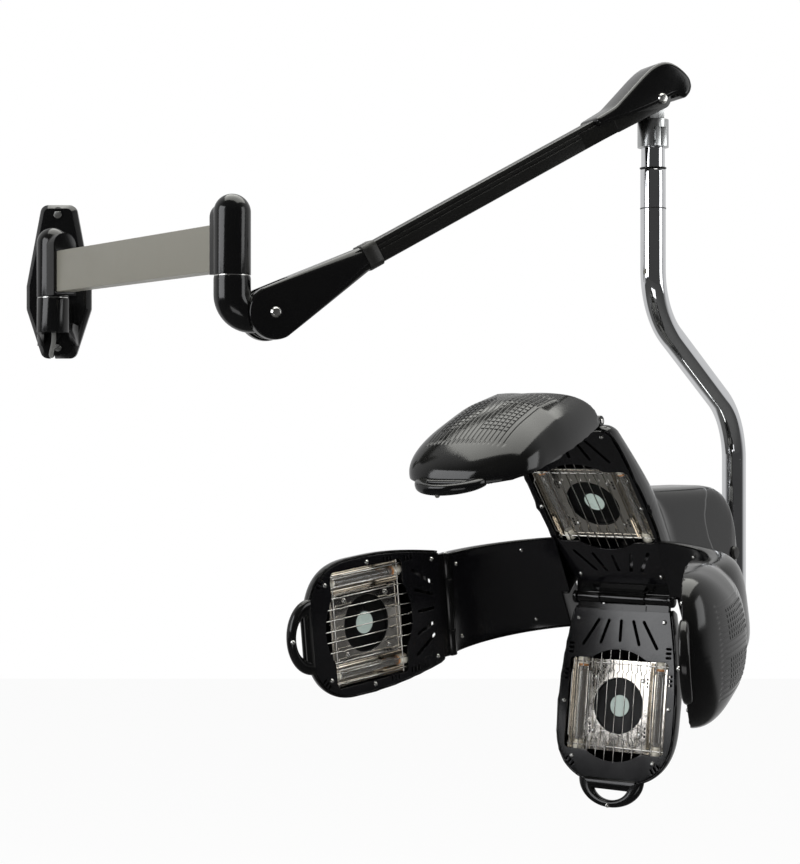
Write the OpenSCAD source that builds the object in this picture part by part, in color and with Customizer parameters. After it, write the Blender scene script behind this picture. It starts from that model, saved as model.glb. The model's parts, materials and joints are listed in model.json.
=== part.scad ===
// Wall-mounted infrared hood dryer: swing bar, balanced lift arm, bent tube and a hood of five heater pods.
// X runs right along the wall, Z up, and the wall is the plane Y = 0 with the dryer in front of it (Y < 0).
// The origin lies on the wall, half way between the two wall screws.

/* [Pose] */
// Swing of the bar from square to the wall
bar_swing = 34.9; // [0:0.1:60]
// Direction of the lift arm, measured from the wall
arm_heading = 20.8; // [0:0.1:40]
// Rise of the lift arm above level
arm_rise = 28.8; // [0:0.1:35]
// Turn of the hood about the bent tube
hood_heading = 36; // [0:1:60]
// Lean of the hub, top edge forward
hub_tilt = 40; // [25:1:50]
// Fold of the top pod from the hub
top_fold = 67.5; // [30:0.5:80]
// Fold of the bottom pod from the hub
bottom_fold = 48; // [20:1:70]
// Outward opening of the left pod
left_open = 12; // [0:1:25]
// Outward opening of the right pod
right_open = 24; // [0:1:25]
// Forward dip of the two side pods
side_dip = 7; // [0:1:12]

/* [Wall plate] */
// Distance between the two wall screws
screw_spacing = 201; // [190:1:220]
// Diameter of the wall screw holes
screw_hole_d = 6.5; // [5:0.5:8]
// Height of the plate beyond each screw
plate_margin = 16; // [15:1:25]
// Width of the plate at its waist
plate_w = 98; // [90:1:120]
// Width of the plate at its ends
plate_end_w = 56; // [50:1:70]
// Depth of the plate
plate_t = 17; // [14:1:24]
// Wall of the hollow plate
plate_wall = 4; // [3:0.5:6]
// Distance of the swing axis from the wall
axis_out = 60; // [52:1:80]

/* [Knuckles] */
// Diameter of the upright knuckles
knuckle_d = 48; // [44:1:56]
// Height of the joint seam
seam_z = -27; // [-35:1:-20]
// Thickness of the bright washer in each seam
washer_t = 1.6; // [1:0.1:3]
// Height of the upper knuckles above the seam
knuckle_up = 104; // [96:1:120]
// Height of the lower wall knuckle
knuckle_low = 51; // [44:1:56]
// Diameter of the swivel pins
swivel_pin_d = 20; // [16:1:24]
// Running clearance of a pin in its bore, on the radius
run_gap = 0.05; // [0.02:0.01:0.1]
// Gap between parts that pass each other
pass_gap = 0.4; // [0.3:0.1:0.8]

/* [Swing bar] */
// Distance between the two upright axes
bar_len = 530; // [400:5:700]
// Height of the bar
bar_h = 60; // [50:1:70]
// Thickness of the bar
bar_w = 26; // [20:1:30]
// Wall of the bar
bar_wall = 2.5; // [1.5:0.5:5]
// Height of the middle of the bar
bar_z = 9; // [4:1:16]

/* [Lift arm] */
// Distance from the elbow axis to the lift pivot
tongue_reach = 50; // [46:1:70]
// Height of the lift pivot
pivot_z = -75; // [-80:0.5:-68]
// Distance between the two pivots of the lift arm
arm_len = 633; // [500:1:800]
// Radius of the round ears at the lift pivot
ear_r = 35; // [32:1:38]
// Width of the arm across its ears
ear_w = 56; // [50:1:64]
// Thickness of the tongue between the ears
tongue_w = 28; // [24:1:32]
// Height of the beam
beam_h = 30; // [28:1:34]
// Width of the beam
beam_w = 34; // [32:1:40]
// Wall of the beam
beam_wall = 2.5; // [1.5:0.5:3]
// Height of the beam's middle above the line of the pivots
beam_mid = 3; // [2:0.5:4]
// Length of the near cover from the pivot
near_cover_len = 146; // [120:1:220]
// Length of the matte collar
collar_len = 21; // [14:1:40]
// Diameter of the lift pivot pins
lift_pin_d = 10; // [8:1:12]
// Distance of the tie rod pins above the pivots
tie_up = 10; // [9.5:0.5:11]
// Diameter of the tie rod
tie_rod_d = 5; // [4:0.5:6]
// Diameter of the balance spring strut
strut_d = 11; // [8:1:12]

/* [Hanger and tube] */
// Outer diameter of the hanger sleeve
sleeve_d = 43; // [40:1:44]
// Length of the hanger sleeve
sleeve_len = 38; // [32:1:60]
// Depth of the sleeve top below the pivot
sleeve_drop = 26; // [24:1:32]
// Diameter of the tube neck
neck_d = 32.6; // [30:0.2:33]
// Length of neck between the sleeve and the tube
neck_show = 28; // [15:1:50]
// Outer diameter of the bent tube
tube_d = 35; // [34:0.5:40]
// Wall of the bent tube
tube_wall = 1.1; // [1:0.1:1.2]
// Depth of the first corner of the tube below the pivot
corner_drop = 292; // [270:1:340]
// Height between the two corners of the tube
corner_fall = 147; // [130:1:200]
// Offset of the lower tube behind the upper tube
tube_offset = 246; // [200:1:260]
// Bend radius of the tube
bend_r = 105; // [80:1:110]
// Depth of the tube's lower end below the pivot
tube_end_drop = 700; // [690:1:760]

/* [Hood] */
// Distance of the fan in the hub from the upper tube
hub_reach = 168; // [150:1:180]
// Depth of the fan in the hub below the arm pivot
hub_drop = 558; // [540:1:600]
// Distance of the top hinge above the fan in the hub
hub_top = 146; // [142:1:165]
// Distance of the bottom hinge below the fan in the hub
hub_bottom = 152; // [148:1:170]
// Step of the bottom hinge toward the client
hub_step = 14; // [8:1:18]
// Half width of the hub
hub_hw = 86; // [80:1:95]
// Sideways distance of the side hinges
side_out = 189; // [180:1:220]
// Forward distance of the side hinges
side_fwd = 56; // [50:1:80]
// Depth of the side hinges below the fan in the hub
side_low = 132; // [125:1:140]
// Half height of a side wing at its hinge
wing_hh = 68; // [62:1:74]
// Depth of a side wing at its hinge
wing_d = 38; // [30:1:42]

/* [Pods] */
// Distance from a pod's hinge to its fan
fan_reach = 144; // [140:1:160]
// Half width of a pod at its hinge
pod_hinge_hw = 75; // [70:1:80]
// Half width of a pod at its middle
pod_hw = 91; // [88:1:98]
// Length of a pod without its handle
pod_len = 250; // [246:1:280]
// Depth of a pod
pod_depth = 65; // [62:1:76]
// Wall of the moulded shells
shell_wall = 3; // [2.5:0.5:4]
// Thickness of the inner panels
panel_t = 2.5; // [1.5:0.5:3]
// Half width of a handle loop
handle_hw = 49; // [46:1:56]
// Reach of a handle loop beyond the pod
handle_out = 30; // [28:1:38]
// Thickness of a handle loop
handle_t = 13; // [10:1:16]

/* [Hinges] */
// Diameter of the hinge barrels
barrel_d = 14; // [12:1:16]
// Diameter of the hinge pins
hinge_pin_d = 6; // [5:0.5:8]
// Length of a hinge barrel row
barrel_len = 140; // [120:2:146]
// Gap between a hinge axis and the parts beside it
hinge_edge = 12; // [11:1:14]
// Depth of the inner panel below its hinge axis
hinge_drop = 3; // [0:1:5]

/* [Heaters and fans] */
// Side of the square fans
fan_w = 80; // [70:1:84]
// Depth of the fans
fan_d = 25; // [20:1:30]
// Distance between the fan screw holes
fan_pitch = 71.5; // [60:0.5:74]
// Depth of the fan plate behind the panel
fan_seat = 9; // [8:0.5:12]
// Half width of the heater window
window_hw = 76; // [70:1:78]
// Half length of the heater window
window_hl = 62; // [56:1:64]
// Radius of the round part of the window
window_r = 75; // [70:1:78]
// Distance of a lamp from the middle
lamp_x = 60; // [56:1:62]
// Diameter of a quartz lamp tube
lamp_d = 11; // [8:1:12]
// Diameter of the ceramic lamp ends
cap_d = 13.4; // [12:1:16]
// Number of wires in a guard
guard_wires = 13; // [7:2:17]
// Diameter of the guard wires
wire_d = 1.8; // [1.4:0.2:2.4]
// Number of fan blades
blades = 7; // [5:1:9]

/* [Rear housing] */
// Half width of the rear housing
house_hw = 55; // [50:1:65]
// Height of the housing top above the hub's fan
house_top = 25; // [18:1:32]
// Depth of the housing bottom below the hub's fan
house_low = 118; // [105:1:125]
// Distance of the tilt axis behind the hub's fan
tilt_back = 306; // [298:1:312]
// Depth of the tilt axis below the hub's fan
tilt_low = 72; // [66:1:78]
// Diameter of the tilt bolt
tilt_bolt_d = 12; // [10:1:14]
// Thickness of the lug on the tube
lug_w = 14; // [10:1:18]
// Diameter of the push buttons
button_d = 12; // [10:1:14]
// Distance between the push buttons
button_pitch = 26; // [20:1:28]
// Height of a button above its panel
button_show = 2.5; // [2:0.5:4]

/* [Supply cable] */
// Diameter of the fixed supply cable
cable_d = 7; // [6:0.5:8]

/* [Hidden] */
$fn = 48;
black = [0.05, 0.05, 0.055];
satin = [0.16, 0.16, 0.17];
grey = [0.45, 0.45, 0.43];
chrome = [0.8, 0.81, 0.83];
bright = [0.86, 0.86, 0.84];
ceramic = [0.92, 0.88, 0.8];
knuckle_r = knuckle_d / 2;
ear_in = tongue_w / 2 + pass_gap;
fork_in = sleeve_d / 2 + 2 * pass_gap;
fork_out = ear_w / 2;
beam_end = arm_len - sleeve_drop - 31;
hub_z = -hub_drop;

// Placing modules, one for each moving frame
module at_wall_axis() translate([0, -axis_out, 0]) children();
module at_bar() at_wall_axis() rotate([0, 0, bar_swing - 90]) children();
module at_elbow() at_bar() translate([bar_len, 0, 0]) rotate([0, 0, arm_heading + 90 - bar_swing]) children();
module at_lift() at_elbow() translate([tongue_reach, 0, pivot_z]) children();
module at_arm() at_lift() rotate([0, -arm_rise, 0]) children();
module at_hanger() at_arm() translate([arm_len, 0, 0]) rotate([0, arm_rise, 0]) children();
module at_tube() at_hanger() rotate([0, 0, -hood_heading - arm_heading]) children();
module at_head() at_tube() translate([0, -hub_reach, hub_z]) children();
module at_hub() at_head() rotate([hub_tilt - 90, 0, 0]) children();
module at_top() at_hub() translate([0, -hub_top, hinge_drop]) rotate([0, 0, 180]) rotate([-top_fold, 0, 0]) children();
module at_bottom() at_hub() translate([0, hub_bottom, -hub_step]) rotate([-bottom_fold, 0, 0]) children();
module at_side_hinge(side) at_head() translate([side * side_out, -side_fwd, -side_low]) rotate([side_dip, 0, 0])
    children();
module at_left() at_side_hinge(-1) rotate([0, 0, 180 - left_open]) rotate([0, 90, 0]) children();
module at_right() at_side_hinge(1) rotate([0, 0, 180 + right_open]) rotate([0, -90, 0]) children();

// Plain helper shapes
module rod(d, x0, x1) translate([x0, 0, 0]) rotate([0, 90, 0]) cylinder(d = d, h = x1 - x0);
module across(d, y0, y1) translate([0, y1, 0]) rotate([90, 0, 0]) cylinder(d = d, h = y1 - y0);
module outward(d, y0, y1) translate([0, y0, 0]) rotate([-90, 0, 0]) cylinder(d = d, h = y1 - y0);
module round_rect(w, h, r) {
    square([w - 2 * r, h], center = true);
    square([w, h - 2 * r], center = true);
    for (x = [-1, 1], y = [-1, 1])
        translate([x * (w / 2 - r), y * (h / 2 - r)]) circle(r);
}
module slot2d(p, q, w) {
    len = norm(q - p);
    translate(p) rotate(atan2(q[1] - p[1], q[0] - p[0])) union() {
        translate([0, -w / 2]) square([len, w]);
        circle(d = w);
        translate([len, 0]) circle(d = w);
    }
}

// Closed strip of rings: every ring has the same number of points
function strip_faces(rings, sides) = [
    for (i = [0 : rings - 2], j = [0 : sides - 1])
        each let (a = i * sides + j, b = i * sides + (j + 1) % sides) [[a, b, b + sides], [a, b + sides, a + sides]]
];

// Wall plate
plate_h = screw_spacing + 2 * plate_margin;
plate_corner = 12;
waist_z = -24;
module plate_outline(inset, y0, y1) {
    r = plate_corner - inset / 2;
    for (side = [-1, 1], p = [[plate_end_w / 2, plate_h / 2], [plate_w / 2, waist_z + 16], [plate_w / 2, waist_z - 16],
            [plate_end_w / 2, -plate_h / 2]])
        translate([side * (p[0] - inset - r), 0, p[1] - sign(p[1]) * (abs(p[1]) > 60 ? inset + r : 0)])
            outward(2 * r, y0, y1);
}
knuckle_floor = seam_z - washer_t - knuckle_low;
notch_x = -9.5;
channel_w = cable_d + 0.8;
channel_deep = 12.4;
module wall_plate() color(black) difference() {
    union() {
        difference() {
            hull() {
                plate_outline(0, -plate_t / 2, 0);
                plate_outline(6, -plate_t, 0);
            }
            hull() plate_outline(plate_wall + 4, -plate_t + plate_wall, 1);
        }
        for (z = [-1, 1]) translate([0, 0, z * screw_spacing / 2]) outward(24, -plate_t + 1, 0);
        at_wall_axis() translate([0, 0, knuckle_floor]) cylinder(d = knuckle_d, h = knuckle_low);
        translate([-knuckle_r + 4, -axis_out, knuckle_floor + 4])
            cube([knuckle_d - 8, axis_out - plate_t + 1, knuckle_low - 8]);
        for (side = [-1, 1]) hull() {
            translate([side * (knuckle_r - 5) - 4, -axis_out + 6, knuckle_floor + 1]) cube([8, 12, 16]);
            translate([side * (knuckle_r + 2) - 5, -plate_t, knuckle_floor - 18]) cube([10, 1, 30]);
        }
    }
    at_wall_axis() translate([0, 0, knuckle_floor - 1])
        cylinder(r = swivel_pin_d / 2 + run_gap, h = knuckle_low + 2);
    for (z = [-1, 1]) translate([0, 0, z * screw_spacing / 2]) outward(screw_hole_d, -plate_t - 1, 1);
    translate([notch_x - channel_w / 2, -channel_deep, -plate_h / 2 - 8]) cube([channel_w, channel_deep + 1, 36]);
    translate([notch_x - channel_w / 2, -plate_t - 1, -plate_h / 2 - 8]) cube([channel_w, plate_t + 2, 18]);
}
module wall_screws() color(bright) for (z = [-1, 1]) translate([0, 0, z * screw_spacing / 2]) {
    outward(screw_hole_d - 0.5, 0, 12);
    outward(screw_hole_d - 1.3, -plate_t, 1);
    outward(11, -plate_t - 3, -plate_t);
}
module terminal_block() color(ceramic) translate([-22, -plate_t + plate_wall, -plate_h / 2 + 34])
    cube([30, 9, 13]);

// Fixed supply cable, a short held lead with its route in the row frame
cable_in = -channel_deep + cable_d / 2 + 0.6;
cable_out = -plate_h / 2 + cable_d / 2 + 0.5;
cable_route = [[notch_x, cable_in, -86], [notch_x, cable_in, -95], [notch_x, cable_in, -103],
    [notch_x, cable_in - 0.7, cable_out + 4],
    [notch_x, cable_in - 4.5, cable_out + 0.5], [notch_x, cable_in - 10.5, cable_out], [-8.8, -25, cable_out + 1.5],
    [-7, -32, -107], [-4.5, -39, -102], [-2.2, -45.5, -96], [-0.6, -50.5, -89.5], [0, -54, -79]];
cable_sides = 8;
function cable_dir(i) = let (n = len(cable_route) - 1)
    cable_route[min(i + 1, n)] - cable_route[max(i - 1, 0)];
function unit(v) = v / norm(v);
function cable_ring(i) = let (t = unit(cable_dir(i)), s = unit(cross(t, [1, 0, 0])), c = cross(s, t))
    [for (j = [0 : cable_sides - 1]) cable_route[i] + cable_d / 2 * (cos(360 * j / cable_sides) * s
        + sin(360 * j / cable_sides) * c)];
module supply_cable() color(grey) {
    n = len(cable_route);
    polyhedron(
        points = [for (i = [0 : n - 1]) each cable_ring(i)],
        faces = concat(strip_faces(n, cable_sides), [[for (j = [cable_sides - 1 : -1 : 0]) j]],
            [[for (j = [0 : cable_sides - 1]) (n - 1) * cable_sides + j]]));
}

// Upright knuckles and their pins
module upper_knuckle() {
    translate([0, 0, seam_z]) cylinder(d = knuckle_d, h = knuckle_up - knuckle_r);
    translate([0, 0, seam_z + knuckle_up - knuckle_r]) sphere(d = knuckle_d);
}
wall_socket = 40;
elbow_socket = 27;
socket_wall = 5;
module bar_socket(dir, socket_len) {
    w = bar_w + 2 * socket_wall;
    translate([dir > 0 ? 0 : -socket_len, -w / 2, seam_z + 1]) cube([socket_len, w, bar_h + 14]);
    translate([dir > 0 ? 0 : -socket_len, 0, seam_z + 15 + bar_h]) rotate([0, 90, 0]) cylinder(d = w, h = socket_len);
}
module bar_cut(x0, x1) translate([x0, -bar_w / 2, bar_z - bar_h / 2]) cube([x1 - x0, bar_w, bar_h]);
module swivel_pin(depth) {
    translate([0, 0, seam_z - washer_t - depth]) cylinder(d = swivel_pin_d, h = depth + washer_t + 48);
    translate([0, 0, seam_z - washer_t]) cylinder(d = knuckle_d - 2, h = washer_t);
}
elbow_pin_depth = 40;
module swivel_pins() color(bright) at_bar() {
    difference() {
        swivel_pin(knuckle_low - 4);
        bar_cut(9, 60);
    }
    translate([bar_len, 0, 0]) difference() {
        swivel_pin(elbow_pin_depth);
        bar_cut(-60, -9);
    }
}
module wall_knuckle() color(black) at_bar() difference() {
    union() {
        upper_knuckle();
        bar_socket(1, wall_socket);
    }
    bar_cut(9, wall_socket + 1);
    translate([0, 0, seam_z - 1]) cylinder(d = swivel_pin_d, h = 49);
}
module swing_bar() color(grey) at_bar() difference() {
    bar_cut(9, bar_len - 9);
    translate([8, -bar_w / 2 + bar_wall, bar_z - bar_h / 2 + bar_wall])
        cube([bar_len - 16, bar_w - 2 * bar_wall, bar_h - 2 * bar_wall]);
}
module elbow_upper() color(black) at_bar() translate([bar_len, 0, 0]) difference() {
    union() {
        upper_knuckle();
        bar_socket(-1, elbow_socket);
    }
    bar_cut(-elbow_socket - 1, -9);
    translate([0, 0, seam_z - 1]) cylinder(d = swivel_pin_d, h = 49);
}

// Lower elbow with the tongue that the lift arm straddles
elbow_top = seam_z - washer_t;
module elbow_lower() color(black) at_elbow() union() {
    translate([tongue_reach, 0, pivot_z + tie_up]) across(tie_pin_d, -8, 8);
    elbow_casting();
}
module elbow_casting() difference() {
    union() {
        translate([0, 0, pivot_z]) cylinder(d = knuckle_d, h = elbow_top - pivot_z);
        hull() {
            translate([2, 0, pivot_z + 1]) sphere(d = knuckle_d - 1, $fn = 32);
            translate([0, 0, pivot_z + 8]) cylinder(d = knuckle_d, h = 18, $fn = 32);
            translate([tongue_reach - 12, 0, pivot_z]) across(2 * ear_r - 4, -tongue_w / 2, tongue_w / 2, $fn = 32);
        }
        translate([tongue_reach, 0, pivot_z]) across(2 * ear_r - 4, -tongue_w / 2, tongue_w / 2);
    }
    translate([0, 0, elbow_top - elbow_pin_depth - 2])
        cylinder(r = swivel_pin_d / 2 + run_gap, h = elbow_pin_depth + 3);
    for (side = [-1, 1]) translate([tongue_reach, side * (tongue_w / 2 + 30), pivot_z])
        across(2 * ear_r + 2 * pass_gap + 1, -30, 30);
    translate([tongue_reach - 14, -4 - pass_gap, pivot_z - ear_r - 4]) cube([80, 8 + 2 * pass_gap, 2 * ear_r + 8]);
    translate([tongue_reach, 0, pivot_z]) across(lift_pin_d + 2 * run_gap, -40, 40);
}

// Lift arm
tie_pin_d = 5;
cover_end_h = beam_h + 3;
cover_end_w = beam_w + 4;
fork_r = 14;
module near_cover_body() hull() {
    across(2 * ear_r, -fork_out + 4, fork_out - 4, $fn = 32);
    across(2 * ear_r - 8, -fork_out, fork_out, $fn = 32);
    translate([near_cover_len - 2, -cover_end_w / 2 + 5, beam_mid - cover_end_h / 2])
        cube([2, cover_end_w - 10, cover_end_h]);
    translate([near_cover_len - 2, -cover_end_w / 2, beam_mid - cover_end_h / 2 + 5])
        cube([2, cover_end_w, cover_end_h - 10]);
}
module beam_block(x0, x1, shrink) translate([x0, -beam_w / 2 + shrink, beam_mid - beam_h / 2 + shrink])
    cube([x1 - x0, beam_w - 2 * shrink, beam_h - 2 * shrink]);
module arm_near_cover() color(black) at_arm() difference() {
    near_cover_body();
    translate([-ear_r - 1, -ear_in, -ear_r - 1]) cube([ear_r + 42, 2 * ear_in, 2 * ear_r + 2]);
    beam_block(30, near_cover_len, beam_wall);
    beam_block(beam_start, near_cover_len + 1, 0);
    across(lift_pin_d, -40, 40);
}
beam_start = 80;
module arm_collar() color(satin) at_arm() difference() {
    translate([near_cover_len, 0, beam_mid]) rotate([90, 0, 90]) linear_extrude(collar_len)
        round_rect(cover_end_w + 2, cover_end_h + 2, 9);
    beam_block(near_cover_len - 1, near_cover_len + collar_len + 1, 0);
}
module arm_beam() color(black) at_arm() difference() {
    union() {
        difference() {
            beam_block(beam_start, beam_end, 0);
            for (side = [-1, 1], z = [beam_h / 8, beam_h / 3]) translate([near_cover_len + collar_len + 1,
                side * beam_w / 2 - 1, beam_mid + z]) cube([beam_end, 2, 1.6]);
        }
        for (side = [-1, 1]) hull() {
            translate([beam_end - 24, side * (fork_in + 2) - 2, beam_mid - beam_h / 2]) cube([2, 4, beam_h - 4]);
            translate([arm_len, side * (fork_in + 2), 0]) across(2 * fork_r, -2, 2, $fn = 32);
        }
        translate([beam_end - 24, -fork_in - 4, beam_mid - beam_h / 2]) cube([24, 2 * fork_in + 8, beam_h - 4]);
    }
    beam_block(beam_start - 1, beam_end + 1, beam_wall);
    translate([arm_len, 0, 0]) across(lift_pin_d, -40, 40);
}

// Far cover: a peaked shell over the fork with a hooked nose, drawn as a side profile
peak_h = 45;
far_start = arm_len - 105;
cover_wall = 2.4;
module far_profile(inset) offset(delta = -inset) polygon([
    [far_start, beam_h / 2 - 8], [far_start, beam_h / 2 + 4.8], [far_start + 37, beam_h / 2 + 6],
    [arm_len - 29, peak_h - 12], [arm_len + 7, peak_h - 1], [arm_len + 19, peak_h], [arm_len + 31, peak_h - 6],
    [arm_len + 41, 29], [arm_len + 49, 17], [arm_len + 53, 4], [arm_len + 49, -7], [arm_len + 41, -12.5],
    [arm_len + 33, -15], [arm_len + 27, -10], [arm_len + 22, -4], [arm_len + 7, -4], [arm_len - 16, -4],
    [arm_len - 56, 0], [arm_len - 81, 5]]);
module arm_far_cover() color(black) at_arm() difference() {
    translate([0, ear_w / 2 + 1.5, 0]) rotate([90, 0, 0]) linear_extrude(ear_w + 3) far_profile(0);
    translate([0, fork_out - 1, 0]) rotate([90, 0, 0]) linear_extrude(ear_w - 2) far_profile(cover_wall);
    translate([far_start + 2, -fork_out + 1, -beam_h]) cube([arm_len - far_start + 18, ear_w - 2, beam_h + 12]);
    beam_block(far_start - 1, far_start + 40, -0.1);
    translate([arm_len, 0, 0]) across(lift_pin_d, -40, 40);
}
module dome_pin(y0, y1, head) {
    across(lift_pin_d, y0, y1);
    translate([0, y1, 0]) rotate([-90, 0, 0]) cylinder(d1 = head, d2 = head - 5, h = 3);
}
module arm_pins() color(bright) at_arm() for (x = [0, arm_len], side = [0, 180])
    translate([x, 0, 0]) rotate([0, 0, side]) dome_pin(5, fork_out + (x > 0 ? 1.5 : 0), 15);
module balance_spring() color(satin) at_arm() translate([0, 0, beam_mid - beam_h / 2 + beam_wall + strut_d / 2 + 0.3]) {
    rod(strut_d, 200, 420);
    rod(5, 104, 200);
    translate([104, 0, 0]) across(9, -4, 4);
    translate([104, 0, 0]) across(5, -beam_w / 2 + beam_wall, beam_w / 2 - beam_wall);
    rod(5, 420, 444);
    translate([444, 0, 0]) across(9, -4, 4);
    translate([444, 0, 0]) across(5, -beam_w / 2 + beam_wall, beam_w / 2 - beam_wall);
}

// Tie rod that keeps the hanger upright; its eyes turn on pins held by the tongue and the hanger
module at_tie() at_lift() translate([0, 0, tie_up]) rotate([0, -arm_rise, 0]) children();
module tie_rod() color(grey) at_tie() difference() {
    union() {
        for (x = [0, arm_len]) translate([x, 0, 0]) across(tie_pin_d + 6, -3.6, 3.6);
        rod(tie_rod_d, 0, arm_len);
    }
    for (x = [0, arm_len]) translate([x, 0, 0]) across(tie_pin_d + 2 * run_gap, -10, 10);
}

// Hanger: an upright tongue on the far pivot and a split sleeve that grips the neck
hanger_tongue_w = 24;
module hanger_bracket() color(chrome) at_hanger() union() {
    translate([0, 0, tie_up]) across(tie_pin_d, -8, 8);
    hanger_casting();
}
module hanger_casting() difference() {
    union() {
        across(30, -hanger_tongue_w / 2, hanger_tongue_w / 2);
        translate([-11, -hanger_tongue_w / 2, -sleeve_drop - 2]) cube([22, hanger_tongue_w, sleeve_drop]);
        translate([0, 0, -sleeve_drop - sleeve_len]) cylinder(d = sleeve_d, h = sleeve_len);
        translate([-8, -sleeve_d / 2 - 3, -sleeve_drop - sleeve_len]) cube([16, 8, sleeve_len - 12]);
    }
    translate([0, 0, -sleeve_drop - sleeve_len - 1]) cylinder(d = neck_d, h = sleeve_len - 5);
    translate([-0.8, -sleeve_d, -sleeve_drop - sleeve_len - 1]) cube([1.6, sleeve_d, sleeve_len - 11]);
    translate([-30, -4 - pass_gap, -sleeve_drop + 5]) cube([60, 8 + 2 * pass_gap, 60]);
    across(lift_pin_d + 2 * run_gap, -20, 20);
    for (z = [-14, -32]) translate([0, -sleeve_d / 2 + 0.5, -sleeve_drop + z]) rod(4, -12, 12);
}
neck_top = sleeve_drop + 9;
neck_low = sleeve_drop + sleeve_len + neck_show;
module tube_neck() color(chrome) at_hanger() difference() {
    translate([0, 0, -neck_low - 60]) cylinder(d = neck_d, h = neck_low + 60 - neck_top);
    translate([0, 0, -neck_low - 61]) cylinder(d = neck_d - 5, h = neck_low + 70);
}

// Bent tube: three straight lengths and two bends in one upright plane
fall_angle = atan2(tube_offset, corner_fall);
bend_tan = bend_r * tan(fall_angle / 2);
slope_len = norm([tube_offset, corner_fall]) - 2 * bend_tan;
tube_top = neck_low + 1.4;
weld = 2;
weld_step = 0.1;
module tube_path(d, over, low) {
    first = corner_drop - bend_tan;
    last = corner_drop + corner_fall + bend_tan;
    translate([0, 0, -first]) cylinder(d = d, h = first - tube_top + over);
    translate([0, bend_r, -first]) rotate([0, 90, 0]) rotate([0, 0, -90])
        rotate_extrude(angle = fall_angle) translate([bend_r, 0]) circle(d = d);
    translate([0, bend_r * (1 - cos(fall_angle)), -first - bend_r * sin(fall_angle)])
        rotate([180 + fall_angle, 0, 0]) translate([0, 0, -weld]) cylinder(d = d - weld_step, h = slope_len + 2 * weld);
    translate([0, tube_offset - bend_r, -last]) rotate([0, 90, 0]) rotate([0, 0, 90])
        rotate_extrude(angle = fall_angle) translate([bend_r, 0]) circle(d = d);
    translate([0, tube_offset, -tube_end_drop - low]) cylinder(d = d, h = tube_end_drop + low - last);
}
lug_back = hub_reach + tube_offset - 8;
lug_hh = 18;
module hood_tube() color(chrome) difference() {
    union() {
        at_tube() tube_path(tube_d, 0, 3);
        at_head() {
            translate([-lug_w / 2, tilt_back, -tilt_low - lug_hh]) cube([lug_w, lug_back - tilt_back, 2 * lug_hh]);
            translate([0, tilt_back, -tilt_low]) rotate([0, 90, 0]) cylinder(r = lug_hh, h = lug_w, center = true);
        }
    }
    at_tube() tube_path(tube_d - 2 * tube_wall, 1, 0);
    at_head() translate([0, tilt_back, -tilt_low]) rotate([0, 90, 0])
        cylinder(d = tilt_bolt_d + 2 * run_gap, h = lug_w + 2, center = true);
}
module tube_rings() color(satin) at_tube() {
    translate([0, 0, -tube_top + 0.2]) difference() {
        cylinder(d = tube_d + 2, h = 1.2);
        translate([0, 0, -1]) cylinder(d = neck_d + 0.3, h = 4);
    }
    translate([0, 0, -tube_top - 56]) difference() {
        cylinder(d = tube_d + 0.8, h = 1.6);
        translate([0, 0, -1]) cylinder(d = tube_d, h = 4);
    }
}

// Domed moulding over an outline: rings climb from the rim to the crown and back down inside
dome_steps = 7;
dome_flat = 0.92;
dome_lift = 0.84;
function thin(y, mid, dir) = 1 - end_thin * max(0, dir * (y - mid[1]) / 140);
function dome_ring(line, mid, depth, t, dir) = let (k = pow(cos(t), dome_flat), z = depth * pow(sin(t), dome_lift))
    [for (p = line) let (y = mid[1] + (p[1] - mid[1]) * k) [mid[0] + (p[0] - mid[0]) * k, y, z * thin(y, mid, dir)]];
function shrink_line(line, mid, d) = [for (p = line) p + d * (mid - p) / norm(mid - p)];
function dome_angles() = [for (i = [0 : dome_steps - 1]) 84 * pow(i / (dome_steps - 1), 1.1)];
module dome_shell(line, mid, depth, wall, dir) {
    n = len(line);
    inner = shrink_line(line, mid, wall);
    outer_pts = [for (t = dome_angles()) each dome_ring(line, mid, depth, t, dir)];
    inner_pts = [for (i = [dome_steps - 1 : -1 : 0]) each dome_ring(inner, mid, depth - wall, dome_angles()[i], dir)];
    total = 2 * dome_steps * n;
    polyhedron(points = concat(outer_pts, inner_pts, [[mid[0], mid[1], depth], [mid[0], mid[1], depth - wall]]),
        faces = concat(
            [for (i = [0 : 2 * dome_steps - 1], j = [0 : n - 1]) each i == dome_steps - 1 ? [] :
                let (a = i * n + j, b = i * n + (j + 1) % n, c = (i + 1) % (2 * dome_steps) * n + (j + 1) % n,
                    d = (i + 1) % (2 * dome_steps) * n + j) [[a, c, b], [a, d, c]]],
            [for (j = [0 : n - 1]) [(dome_steps - 1) * n + j, total, (dome_steps - 1) * n + (j + 1) % n]],
            [for (j = [0 : n - 1]) [dome_steps * n + j, dome_steps * n + (j + 1) % n, total + 1]]));
}
module dome_solid(line, mid, depth, dir) {
    n = len(line);
    pts = [for (t = dome_angles()) each dome_ring(line, mid, depth, t, dir)];
    polyhedron(points = concat(pts, [[mid[0], mid[1], depth]]),
        faces = concat(
            [for (i = [0 : dome_steps - 2], j = [0 : n - 1]) each let (a = i * n + j, b = i * n + (j + 1) % n,
                c = (i + 1) * n + (j + 1) % n, d = (i + 1) * n + j) [[a, c, b], [a, d, c]]],
            [for (j = [0 : n - 1]) [(dome_steps - 1) * n + j, dome_steps * n, (dome_steps - 1) * n + (j + 1) % n]],
            [[for (j = [0 : n - 1]) j]]));
}

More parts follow.
